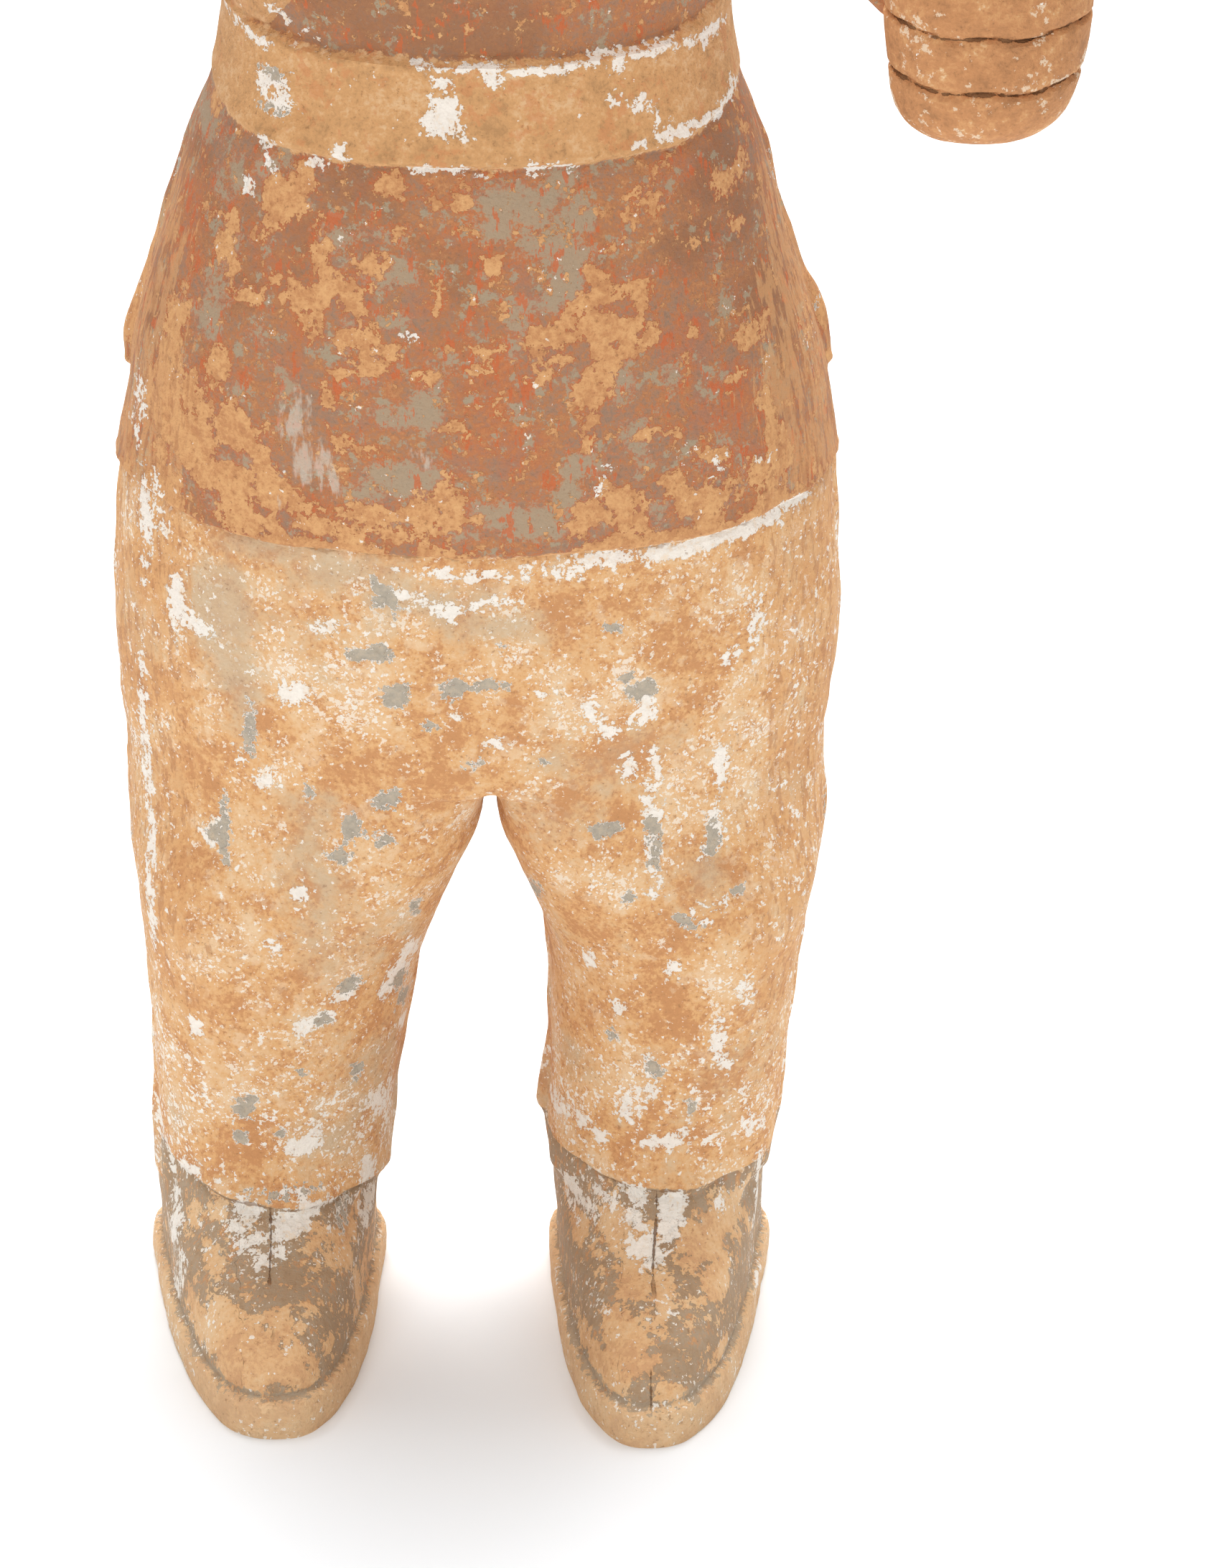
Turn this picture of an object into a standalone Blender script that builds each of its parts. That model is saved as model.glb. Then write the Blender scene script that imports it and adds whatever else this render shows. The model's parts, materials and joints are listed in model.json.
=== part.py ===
"""Moulded pottery warrior: a standing figure in a belted tunic, wide trousers and round-toed boots."""

import math

import bmesh
import bpy
import numpy as np
from mathutils import Matrix, Vector

# Driving sizes, in metres. +Z is up, the figure faces -Y, and the origin is on the ground at the
# middle of all that the figure covers.
HEIGHT = 0.680  # ground to the top of the hair knot
BELT_WIDTH = 0.028
BELT_PROUD = 0.0024  # how far the belt stands out from the tunic
SKIRT_PROUD = 0.0020  # step from the tunic's hem down to the trousers
SOLE_THICKNESS = 0.011
SOLE_LEDGE = 0.0012  # how far the sole stands out round the boot
BOOT_INSET = 0.0020  # how far the boot lies inside the trouser leg
LAPEL_WIDTH = 0.011
LAPEL_PROUD = 0.0018
GROOVE_WIDTH = 0.0030  # cuts between fingers, along seams and at the mouth
GROOVE_DEPTH = 0.0018
SEAM_PROUD = 0.0016  # ridge where the front and back moulds met

CLAY = (0.70, 0.46, 0.27, 1.0)

# The free forms are drawn for a figure 680 parts high, and every part is its share of HEIGHT.
PART = HEIGHT / 680
SIDES = 72  # corners round a lofted section
RINGS = 6  # rings between two stations of a loft
VOXEL = 2.1 * PART
SMOOTH_ROUNDS = 7
TRIANGLES = 9600
FINE_FACTOR = 0.004  # how much finer the face stays than the rest
CUT_DEPTH = 4.0  # the boots are modelled this far below the ground, and then cut flat

# Loft stations: height, left edge, right edge, reach to the front, reach to the back.
TRUNK = (
    (181, -96.5, 96, 52, 48),
    (195, -98.2, 98, 54.5, 50),
    (225, -98.8, 99.6, 60, 55),
    (262, -96.6, 97.6, 64, 58),
    (285, -92.5, 94, 65, 58),
    (302, -90, 90, 65, 57),
    (327, -83, 83, 64, 56),
    (352, -76.3, 77.5, 62, 54),
    (364, -73.0, 74.6, 60.5, 53),
    (375, -69.2, 71.0, 59, 52),
    (397, -65.5, 68, 57, 51),
    (420, -70, 72, 58, 52),
    (455, -78, 79, 59, 53),
    (490, -82, 83, 56, 51),
    (514, -79, 80, 49, 46),
    (530, -62, 63, 39, 38),
    (541, -40, 41, 31, 31),
    (550, -29, 29, 27, 27),
    (566, -26, 26, 25, 25),
    (590, -25, 25, 24, 25),
)
# Leg stations: height, inner and outer edge of each leg, reach to the front and to the back.
LEGS = (
    (42, -26.0, -88.6, 19.0, 81.6, 31, 34),
    (55, -25.5, -90.2, 19.2, 83.4, 32, 35),
    (73, -24.0, -91.6, 19.8, 85.4, 34, 36),
    (92, -20.6, -92.6, 20.0, 87.6, 37, 38),
    (110, -17.3, -93.6, 20.0, 89.6, 40, 40),
    (128, -11.4, -94.6, 17.2, 92.2, 43, 42),
    (146, -5.0, -96.2, 11.4, 95.4, 47, 45),
    (160, 0.8, -97.4, 6.2, 96.8, 50, 47),
    (169, 3.0, -97.8, 4.0, 97.2, 51, 47),
    (176, 9.0, -97.6, -2.0, 97.0, 51, 47),
    (186, 18.0, -95.5, -11.0, 95.0, 48, 44),
    (198, 20.0, -84.0, -14.0, 84.0, 36, 32),
)
# How the back of each trouser leg hangs over the boot: height of its hem, inner and outer edge
# there, and the same at the top, where it runs into the leg.
BACK_HEMS = (
    (36, -27.0, -94.2, 86, -22.5, -92.0),
    (58, 15.6, 84.8, 92, 20.5, 86.5),
)
BACK_HEM_REACH = 38.0
# Boot stations above the sole: height, half width, reach to the toe, reach to the heel,
# and how far behind the middle of the figure the boot is widest.
BOOT = (
    (4, 31.6, 83.0, 38.5, 20),
    (15, 31.8, 82.0, 38.5, 20),
    (21, 31.8, 77.5, 38.0, 18),
    (28, 32.3, 68.0, 37.0, 15),
    (36, 32.5, 55.5, 36.0, 11),
    (45, 32.2, 43.5, 35.0, 7),
    (55, 31.4, 34.5, 34.0, 3),
    (66, 31.0, 32.0, 33.0, 2),
)
BOOT_TAPER = 0.25  # how much narrower than an oval the boot is towards its toe
# Middle of each heel, reach of its toe, how far the toe turns in over the boot's length, and the
# boot's share of the width above.
BOOT_AXES = ((-61.8, 84.5, 0.050, 1.01), (50.8, 89.5, -0.024, 0.955))
HEEL_REACH = 39.0
HEEL_MIDDLE = 20.0
SOLE_HALF_WIDTH = 31.8
HEM_FRONT = 48.0  # height of the trouser hems over the boots

SKIRT_FRONT = 260.0  # height of the tunic's hem at the front, at the side seams and at the back
SKIRT_SIDE = 287.0
SKIRT_BACK = 266.0
BELT_FOOT = 369.0  # height of the belt's lower edge at the front
BELT_RISE = 7.0  # how much higher it runs at the sides

# Arm paths: points with the sleeve's radius there, from shoulder to wrist.
LEFT_ARM = (
    (68, 2, 508, 27),
    (86, 4, 484, 28),
    (96, 5, 460, 28),
    (99, -12, 448, 27),
    (106, -42, 443, 25),
    (116, -72, 440, 23),
    (122, -88, 438, 22.5),
)
RIGHT_ARM = (
    (-68, 2, 508, 27),
    (-87, 4, 484, 28),
    (-99, 5, 464, 28),
    (-104, -8, 455, 27),
    (-110, -32, 463, 25),
    (-114, -56, 479, 23),
    (-116, -68, 488, 22.5),
)
# Fist stations, little finger to index: height, half width, reach forward and back.
FIST = (
    (-28, 9, 8, 8),
    (-26, 17, 14, 14),
    (-20, 23.0, 20, 19),
    (-8, 25.4, 22.5, 21),
    (6, 26.4, 23.0, 21),
    (18, 26.2, 22.0, 20),
    (25, 23.5, 18.0, 18),
    (28.5, 15.0, 10.0, 11),
)
FIST_HEIGHT = 54.0  # four fingers, one above the other
FIST_WIDTH = 52.0
FIST_DEPTH = 45.0
FINGERS = 4
LEFT_FIST = (131, -116, 429)
RIGHT_FIST = (-118, -92, 512)
LEFT_TURN = 12.0  # degrees that each fist turns about the upright, and leans back
RIGHT_TURN = -6.0
LEFT_LEAN = 0.0
RIGHT_LEAN = 40.0

SLEEVE_FOLD = 1.3

HEAD = (0.0, -3.0, 612.0)
HEAD_RADII = (37.5, 43.0, 45.0)
EYE_DROP = 5.0  # how far the eyes, nose, mouth and chin lie below the middle of the head
NOSE_DROP = 23.0
MOUTH_DROP = 35.5
CHIN_DROP = 54.0
HAIRLINE_RISE = 20.0  # how far above it the hair starts
EYE_Z = HEAD[2] - EYE_DROP
NOSE_Z = HEAD[2] - NOSE_DROP
MOUTH_Z = HEAD[2] - MOUTH_DROP
CHIN_Z = HEAD[2] - CHIN_DROP
HAIRLINE_Z = HEAD[2] + HAIRLINE_RISE
EYE_X = 15.5
HAIR_PROUD = 3.0
HAIR_FADE = 6.0  # half the height over which the hair runs out under the knot
EAR_PROUD = 1.5


def new_object(name, mesh):
    """An object in the scene that shows this mesh."""
    made = bpy.data.objects.new(name, mesh)
    bpy.context.scene.collection.objects.link(made)
    return made


def evaluated_mesh(obj):
    """The object's mesh with its modifiers worked in."""
    bpy.context.view_layer.update()
    graph = bpy.context.evaluated_depsgraph_get()
    return bpy.data.meshes.new_from_object(obj.evaluated_get(graph))


def worked_in(obj):
    """Bakes the object's modifiers into its mesh."""
    mesh = evaluated_mesh(obj)
    obj.modifiers.clear()
    obj.data = mesh


def smooth_table(stations, rings):
    """Rows on the smooth curve through the stations, with this many steps between two."""
    table = np.array(stations, float)
    padded = np.vstack([2 * table[0] - table[1], table, 2 * table[-1] - table[-2]])
    rows = []
    for i in range(1, len(padded) - 2):
        before, start, end, after = padded[i - 1 : i + 3]
        for t in np.arange(rings) / rings:
            rows.append(
                0.5 * (2 * start + (end - before) * t
                       + (2 * before - 5 * start + 4 * end - after) * t ** 2
                       + (3 * start - before - 3 * end + after) * t ** 3)
            )
    rows.append(table[-1])
    return np.array(rows)


def oval(left, right, front, back, power=2.05):
    """Points round an oval whose four quarters have their own reach."""
    angles = np.linspace(0, 2 * math.pi, SIDES, endpoint=False)
    c, s = np.cos(angles), np.sin(angles)
    middle = (left + right) / 2
    half = (right - left) / 2
    x = middle + half * np.sign(c) * np.abs(c) ** (2 / power)
    y = np.where(s > 0, back, front) * np.sign(s) * np.abs(s) ** (2 / power)
    return x, y


def add_loft(form, sections):
    """Adds a closed skin over sections, each a height and the points round it."""
    rings = [
        [form.verts.new((x * PART, y * PART, z * PART)) for x, y in zip(*points)]
        for z, points in sections
    ]
    for lower, upper in zip(rings, rings[1:]):
        for i in range(SIDES):
            j = (i + 1) % SIDES
            form.faces.new((lower[i], lower[j], upper[j], upper[i]))
    form.faces.new(rings[0][::-1])
    form.faces.new(rings[-1])


def add_ball(form, centre, radii, turn=None):
    """Adds an ellipsoid. turn is a rotation about its centre."""
    place = Matrix.Translation(Vector(centre) * PART)
    if turn is not None:
        place = place @ turn.to_4x4()
    place = place @ Matrix.Diagonal((*(r * PART for r in radii), 1.0))
    ball = bmesh.new()
    bmesh.ops.create_uvsphere(ball, u_segments=32, v_segments=20, radius=1, matrix=place)
    mesh = bpy.data.meshes.new("ball")
    ball.to_mesh(mesh)
    ball.free()
    form.from_mesh(mesh)
    bpy.data.meshes.remove(mesh)


def add_tube(form, points, open_end=False):
    """Adds a tube through points that each carry a radius. open_end leaves the last end square."""
    curve = bpy.data.curves.new("tube", "CURVE")
    curve.dimensions = "3D"
    curve.bevel_depth = 1.0
    curve.bevel_resolution = 6
    curve.use_fill_caps = True
    rows = smooth_table(points, RINGS)
    spline = curve.splines.new("POLY")
    spline.points.add(len(rows) - 1)
    for point, (x, y, z, radius) in zip(spline.points, rows * PART):
        point.co = (x, y, z, 1)
        point.radius = radius
    guide = new_object("tube", curve)
    tube = bmesh.new()
    tube.from_mesh(evaluated_mesh(guide))
    bmesh.ops.remove_doubles(tube, verts=tube.verts, dist=1e-5)
    mesh = bpy.data.meshes.new("tube")
    tube.to_mesh(mesh)
    tube.free()
    form.from_mesh(mesh)
    bpy.data.objects.remove(guide)
    for row in points[:1] if open_end else (points[0], points[-1]):
        add_ball(form, row[:3], (row[3] * 0.98,) * 3)


def add_trunk(form):
    rows = smooth_table(TRUNK, RINGS)
    add_loft(form, [(z, oval(left, right, front, back)) for z, left, right, front, back in rows])


def leg_section(z, inner, outer, front, back):
    """A leg's section, which grows squarer towards the crotch and turns into half the trunk's."""
    x, y = oval(min(inner, outer), max(inner, outer), front, back,
                2.2 + 1.4 * smoothstep(z, 110, 160))
    _, left, right, trunk_front, trunk_back = TRUNK[0]
    across = np.clip(np.abs(2 * x - left - right) / (right - left), 0, 1)
    limit = np.where(y < 0, trunk_front, trunk_back) * (1 - across ** 2.05) ** (1 / 2.05)
    inside = np.sign(y) * np.minimum(np.abs(y), limit)
    return x, y + (inside - y) * smoothstep(z, 118, 168)


def add_legs(form):
    rows = smooth_table(LEGS, RINGS)
    for inner, outer in ((1, 2), (3, 4)):
        add_loft(form, [
            (row[0], leg_section(row[0], row[inner], row[outer], row[5], row[6])) for row in rows
        ])


def add_back_hems(form):
    """The back of each trouser leg, which hangs lower than the front and stands out from the boot."""
    for foot, inner, outer, top, top_inner, top_outer in BACK_HEMS:
        sections = []
        for t in np.linspace(0, 1, RINGS + 1):
            edges = sorted((inner + (top_inner - inner) * t, outer + (top_outer - outer) * t))
            x, y = oval(*edges, 12, BACK_HEM_REACH - 8, 2.6)
            sections.append((foot + (top - foot) * t, (x, y + 8)))
        add_loft(form, sections)


def add_boots(form):
    sole = SOLE_THICKNESS / PART
    ledge = SOLE_LEDGE / PART
    inset = BOOT_INSET / PART
    for middle, toe, turn, wide in BOOT_AXES:
        def outline(half, front, back, behind):
            x, y = oval(-half * wide, half * wide, front + behind, back - behind, 2.7)
            x *= 1 - BOOT_TAPER * np.clip(-y / (front + behind), 0, 1)
            y = y + behind
            return middle + x + turn * (HEEL_MIDDLE - y), y

        sole_outline = outline(SOLE_HALF_WIDTH + ledge, toe, HEEL_REACH + ledge, HEEL_MIDDLE)
        add_loft(form, [(-CUT_DEPTH, sole_outline), (sole, sole_outline)])
        longer = toe / BOOT_AXES[0][1]
        add_loft(form, [
            (z, outline(half - inset / 2, front * longer - ledge, back - ledge, behind))
            for z, half, front, back, behind in smooth_table(BOOT, RINGS)
        ])


def fist_frame(place, turn, lean):
    """Matrix from the fist's own space (fingers at -Y, thumb at +Z) to the figure's."""
    return (
        Matrix.Translation(Vector(place))
        @ Matrix.Rotation(math.radians(turn), 4, "Z")
        @ Matrix.Rotation(math.radians(-lean), 4, "X")
    )


def fist_frames():
    return (
        fist_frame(LEFT_FIST, LEFT_TURN, LEFT_LEAN),
        fist_frame(RIGHT_FIST, RIGHT_TURN, RIGHT_LEAN),
    )


def add_fist(form, frame, side):
    """A closed hand: a rounded block of four fingers with the thumb laid over it."""
    start = len(form.verts)
    add_loft(form, [
        (z, oval(-half, half, front, back)) for z, half, front, back in smooth_table(FIST, RINGS)
    ])
    form.verts.ensure_lookup_table()
    place = Matrix.Translation(frame.translation * PART) @ frame.to_3x3().to_4x4()
    bmesh.ops.transform(form, matrix=place, verts=form.verts[start:])
    top = FIST_HEIGHT / 2
    tip = frame @ Vector((-side * 9, -12, top - 1))
    joint = frame @ Vector((side * 2, -2, top + 2))
    root = frame @ Vector((side * 8, 14, top - 8))
    add_tube(form, [(*root, 8.5), (*joint, 7.6), (*tip, 6.2)])


def add_arms(form):
    for path, frame, side in zip((LEFT_ARM, RIGHT_ARM), fist_frames(), (1, -1)):
        add_tube(form, path, open_end=True)
        wrist = frame @ Vector((0, 12, 0))
        back = Vector(path[-1][:3])
        add_tube(form, [(*back, 16.5), (*wrist, 17.0)])
        add_fist(form, frame, side)


def add_head(form):
    x, y, z = HEAD
    add_ball(form, HEAD, HEAD_RADII)
    add_ball(form, (x, y + 6, z + 4), (37, 40, 41))
    add_ball(form, (x, y - 9, EYE_Z - 19), (31, 31.5, 33))
    add_ball(form, (x, y - 29, CHIN_Z + 9), (11, 9.5, 9))
    for side in (-1, 1):
        add_ball(form, (side * 18, y - 22, EYE_Z - 14), (12, 12, 12))
        add_ball(form, (side * EYE_X, y - 31.5, EYE_Z), (10.5, 8.6, 6.0))
        ear = Matrix.Rotation(math.radians(side * 14), 3, "Z")
        add_ball(form, (side * 37.5, y + 4, EYE_Z - 6), (4.2, 8.0, 14.0), ear)
    add_tube(form, [(0, y - 37, EYE_Z + 6, 4.0), (0, y - 41, EYE_Z - 6, 4.8), (0, y - 46, NOSE_Z, 6.2)])
    for side in (-1, 1):
        add_ball(form, (side * 6.2, y - 41, NOSE_Z - 0.5), (4.6, 6.0, 4.2))
    add_ball(form, (0, y - 36.5, MOUTH_Z + 2.2), (10.5, 5.6, 3.0))
    add_ball(form, (0, y - 36.5, MOUTH_Z - 2.8), (8.5, 5.6, 3.2))


def add_knot(form):
    """The hair drawn up into a knot, with a band round its foot."""
    top = HEIGHT / PART
    add_ball(form, (0, 10, top - 14.5), (18, 19, 15))
    add_ball(form, (0, 9, top - 27), (21, 22, 8))


def smoothstep(value, low, high):
    t = np.clip((value - low) / (high - low), 0, 1)
    return t * t * (3 - 2 * t)


def bump(distance, width):
    """1 on a line, falling to 0 at half this width from it."""
    return np.clip(1 - (2 * distance / width) ** 2, 0, 1) ** 2


def belt_foot(y):
    return BELT_FOOT + BELT_RISE * (1 - smoothstep(-y, 0, 45))


def skirt_hem(y):
    front = SKIRT_FRONT + 4 * (1 - smoothstep(-y, 20, 60))
    back = SKIRT_SIDE + (SKIRT_BACK - SKIRT_SIDE) * smoothstep(y, 0, 50)
    return np.where(y < 0, front, back)


def trouser_hem(x):
    """Height of the front hem, which is a little higher on the figure's left leg."""
    return HEM_FRONT + np.where(x < 0, -(x + 58) * 0.10, 5.0 - (x - 50) * 0.07)


def lapel_line(x):
    """Height of the crossed collar's edge over the chest."""
    return 538 - 1.55 * (30 - x)


def dress_relief(x, y, z):
    """Belt, hems, mould seam and collar, in parts, on the trunk and legs."""
    trunk = 1 - smoothstep(np.abs(x), 80, 84)
    foot = belt_foot(y)
    width = BELT_WIDTH / PART
    belt = smoothstep(z, foot - 1, foot + 1) * (1 - smoothstep(z, foot + width - 1, foot + width + 1))
    out = BELT_PROUD / PART * belt * trunk
    hem = skirt_hem(y)
    cloth = smoothstep(z, hem - 1, hem + 1) * (1 - smoothstep(z, 310, foot))
    out += SKIRT_PROUD / PART * cloth * (1 - smoothstep(np.abs(x), 101, 103))
    return out


def seam_relief(x, y, z):
    """Ridge along each side where the two moulds met, in parts."""
    side = np.where(z < 165, np.abs(np.abs(x) - 55), np.abs(x))
    edge = smoothstep(side, 22, 30)
    ragged = 0.6 + 0.4 * np.sin(z * 0.21) * np.sin(z * 0.083 + np.sign(x))
    tall = smoothstep(z, 40, 60) * (1 - smoothstep(z, 350, 372))
    corner = bump(z - 300, 34) * 1.2
    return SEAM_PROUD / PART * (ragged + corner) * bump(y - 4, 10) * edge * tall


def collar_relief(x, y, z):
    """A crossed collar on the front of the chest, in parts."""
    chest = BELT_FOOT + BELT_WIDTH / PART + 3
    neck = CHIN_Z - 8
    front = smoothstep(-y, 8, 16) * smoothstep(z, chest - 2, chest + 2)
    front *= 1 - smoothstep(z, neck - 2, neck + 2)
    front *= 1 - smoothstep(np.abs(x), 62, 70)
    half = LAPEL_WIDTH / PART / 2
    slope = math.hypot(1, 1.55)
    outer = np.abs(z - lapel_line(x)) / slope
    under = np.abs(z - lapel_line(-x)) / slope
    over = 1 - smoothstep(outer, half - 0.8, half + 0.8)
    lower = (1 - smoothstep(under, half - 0.8, half + 0.8)) * smoothstep(z - lapel_line(x), 0, half)
    return LAPEL_PROUD / PART * np.maximum(over, 0.8 * lower) * front


def hair_relief(x, y, z):
    """The hair stands out from the skull, combed up in grooves towards the knot, in parts."""
    line = HAIRLINE_Z - 18 * smoothstep(y, -24, -6) - 30 * smoothstep(y, 8, 22)
    crown = HEAD[2] + HEAD_RADII[2] - HAIR_FADE / 2
    hair = smoothstep(z - line, -1.2, 1.2) * (1 - smoothstep(z, crown - HAIR_FADE, crown + HAIR_FADE))
    ear = HEAD_RADII[0] + EAR_PROUD
    hair *= 1 - smoothstep(np.abs(x), ear - 0.5, ear + 0.5) * (1 - smoothstep(z, EYE_Z + 7, EYE_Z + 11))
    turn = np.arctan2(x, -(y - 6))
    comb = np.abs(np.sin(turn * 14))
    return hair * (HAIR_PROUD - 1.1 * (1 - comb) ** 2)


def eye_relief(x, y, z):
    """Lids that meet in a slit, and a shallow hollow under each brow, in parts."""
    front = smoothstep(-y, 26, 30)
    across = np.abs(np.abs(x) - EYE_X)
    lid_line = EYE_Z - 0.6 + 0.9 * np.cos(across / 10.5 * math.pi / 2)
    slit = bump(z - lid_line, 2.6) * (1 - smoothstep(across, 8.5, 10))
    brow = bump(z - (EYE_Z + 11 + 2.0 * np.cos(across / 13 * math.pi / 2)), 7)
    brow *= 1 - smoothstep(across, 11, 14)
    return front * (1.0 * brow - 1.2 * slit)


def mouth_relief(x, y, z):
    front = smoothstep(-y, 24, 30)
    line = bump(z - (MOUTH_Z - 0.4 + (x / 12) ** 2 * 0.8), 2.6) * (1 - smoothstep(np.abs(x), 9, 12))
    return -1.2 * line * front


def fold_relief(x, y, z):
    """Soft folds across the bend of each sleeve, in parts."""
    sleeve = smoothstep(np.abs(x), 84, 92) * smoothstep(z, 425, 440) * (1 - smoothstep(z, 492, 506))
    sleeve *= smoothstep(y, -62, -44)
    return SLEEVE_FOLD * np.sin((z - 0.7 * y + 0.25 * np.abs(x)) * 2 * math.pi / 19) * sleeve


def finger_relief(points):
    """Cuts between the fingers of both fists, in parts."""
    cuts = np.zeros(len(points))
    step = FIST_HEIGHT / FINGERS
    for frame in fist_frames():
        local = points @ np.array(frame.inverted().to_3x3()).T + np.array(frame.inverted().translation)
        near = (np.abs(local[:, 0]) < FIST_WIDTH * 0.7) & (np.abs(local[:, 1] + 2) < FIST_DEPTH * 0.6)
        fingers = near * (1 - smoothstep(local[:, 1], 6, 14))
        for i in range(1, FINGERS):
            middle = i * step - FIST_HEIGHT / 2
            cuts += bump(local[:, 2] - middle, GROOVE_WIDTH / PART) * fingers
    return -GROOVE_DEPTH / PART * cuts


def boot_cut(x, y, z):
    """The seam up the middle of each boot's toe, and the step in under the trouser hem, in parts."""
    cut = np.zeros(len(x))
    for middle, _, turn, _ in BOOT_AXES:
        vamp = smoothstep(-y, 24, 32) * (1 - smoothstep(z, 44, 52)) * smoothstep(z, 11, 13)
        cut += bump(x - middle - turn * (HEEL_MIDDLE - y), GROOVE_WIDTH / PART) * vamp
    hem = trouser_hem(x)
    boot = (1 - smoothstep(z, hem - 1.0, hem + 1.0)) * smoothstep(z, 30, 40) * smoothstep(-y, 2, 10)
    return -GROOVE_DEPTH / PART * 0.6 * cut - BOOT_INSET / PART * boot


def carve(mesh):
    """Moves each point along its normal by the relief at its place."""
    count = len(mesh.vertices)
    points = np.empty(count * 3, np.float32)
    normals = np.empty(count * 3, np.float32)
    mesh.vertices.foreach_get("co", points)
    mesh.vertices.foreach_get("normal", normals)
    points = points.reshape(-1, 3).astype(float) / PART
    normals = normals.reshape(-1, 3)
    x, y, z = points.T
    out = dress_relief(x, y, z) + seam_relief(x, y, z) + collar_relief(x, y, z)
    out += hair_relief(x, y, z) + eye_relief(x, y, z) * (z > CHIN_Z) + mouth_relief(x, y, z) * (z > CHIN_Z)
    out += fold_relief(x, y, z) + finger_relief(points) + boot_cut(x, y, z)
    points += normals * out[:, None]
    mesh.vertices.foreach_set("co", (points * PART).astype(np.float32).ravel())
    mesh.update()


def one_skin(name, form):
    """One closed skin over all the forms, smoothed where they meet."""
    mesh = bpy.data.meshes.new(name)
    form.to_mesh(mesh)
    form.free()
    obj = new_object(name, mesh)
    skin = obj.modifiers.new("skin", "REMESH")
    skin.mode = "VOXEL"
    skin.voxel_size = VOXEL
    worked_in(obj)
    soft = obj.modifiers.new("soft", "SMOOTH")
    soft.factor = 0.5
    soft.iterations = round(SMOOTH_ROUNDS)
    worked_in(obj)
    return obj


def thin_out(obj):
    """Leaves few triangles where the form is plain and more on the face."""
    plain = obj.vertex_groups.new(name="plain")
    for vertex in obj.data.vertices:
        place = vertex.co / PART
        face = CHIN_Z - 4 < place.z < HAIRLINE_Z + 4 and place.y < -8
        plain.add([vertex.index], 0.1 if face else 1.0, "REPLACE")
    thin = obj.modifiers.new("thin", "DECIMATE")
    thin.vertex_group = plain.name
    thin.vertex_group_factor = FINE_FACTOR
    obj.data.calc_loop_triangles()
    thin.ratio = TRIANGLES / len(obj.data.loop_triangles)
    worked_in(obj)
    obj.vertex_groups.clear()


def cut_flat(obj):
    """Cuts both soles flat at the ground."""
    form = bmesh.new()
    form.from_mesh(obj.data)
    found = bmesh.ops.bisect_plane(
        form, geom=form.verts[:] + form.edges[:] + form.faces[:], dist=1e-6,
        plane_co=(0, 0, 0), plane_no=(0, 0, -1), clear_outer=True,
    )
    rim = [e for e in found["geom_cut"] if isinstance(e, bmesh.types.BMEdge)]
    bmesh.ops.holes_fill(form, edges=rim)
    bmesh.ops.triangulate(form, faces=form.faces[:])
    form.to_mesh(obj.data)
    form.free()


def centre(mesh):
    """Sets the middle of the figure's outline on the ground over the origin."""
    points = np.empty(len(mesh.vertices) * 3, np.float32)
    mesh.vertices.foreach_get("co", points)
    points = points.reshape(-1, 3)
    middle = (points.min(0) + points.max(0)) / 2
    mesh.transform(Matrix.Translation((-float(middle[0]), -float(middle[1]), 0)))


def clay():
    """Buff-coated grey pottery."""
    material = bpy.data.materials.new("clay")
    material.use_nodes = True
    shader = material.node_tree.nodes["Principled BSDF"]
    shader.inputs["Base Color"].default_value = CLAY
    shader.inputs["Roughness"].default_value = 0.9
    shader.inputs["Metallic"].default_value = 0.0
    return material


def make_figure():
    form = bmesh.new()
    for add in (add_trunk, add_legs, add_back_hems, add_boots, add_arms, add_head, add_knot):
        add(form)
    bmesh.ops.recalc_face_normals(form, faces=form.faces)
    figure = one_skin("warrior_figure", form)
    carve(figure.data)
    thin_out(figure)
    cut_flat(figure)
    centre(figure.data)
    figure.data.materials.clear()
    figure.data.materials.append(clay())
    figure.data.shade_smooth()
    figure.data.set_sharp_from_angle(angle=math.radians(35))
    return figure


def main():
    for old in list(bpy.data.objects):
        bpy.data.objects.remove(old)
    figure = make_figure()
    group = bpy.data.collections.new("pottery_warrior")
    bpy.context.scene.collection.children.link(group)
    bpy.context.scene.collection.objects.unlink(figure)
    group.objects.link(figure)


main()
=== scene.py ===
import json
import math

import bmesh
import bpy
import numpy as np
from bpy.props import FloatProperty, FloatVectorProperty, PointerProperty
from bpy.types import Operator, Panel, PropertyGroup
from mathutils import Matrix, Vector

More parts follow.
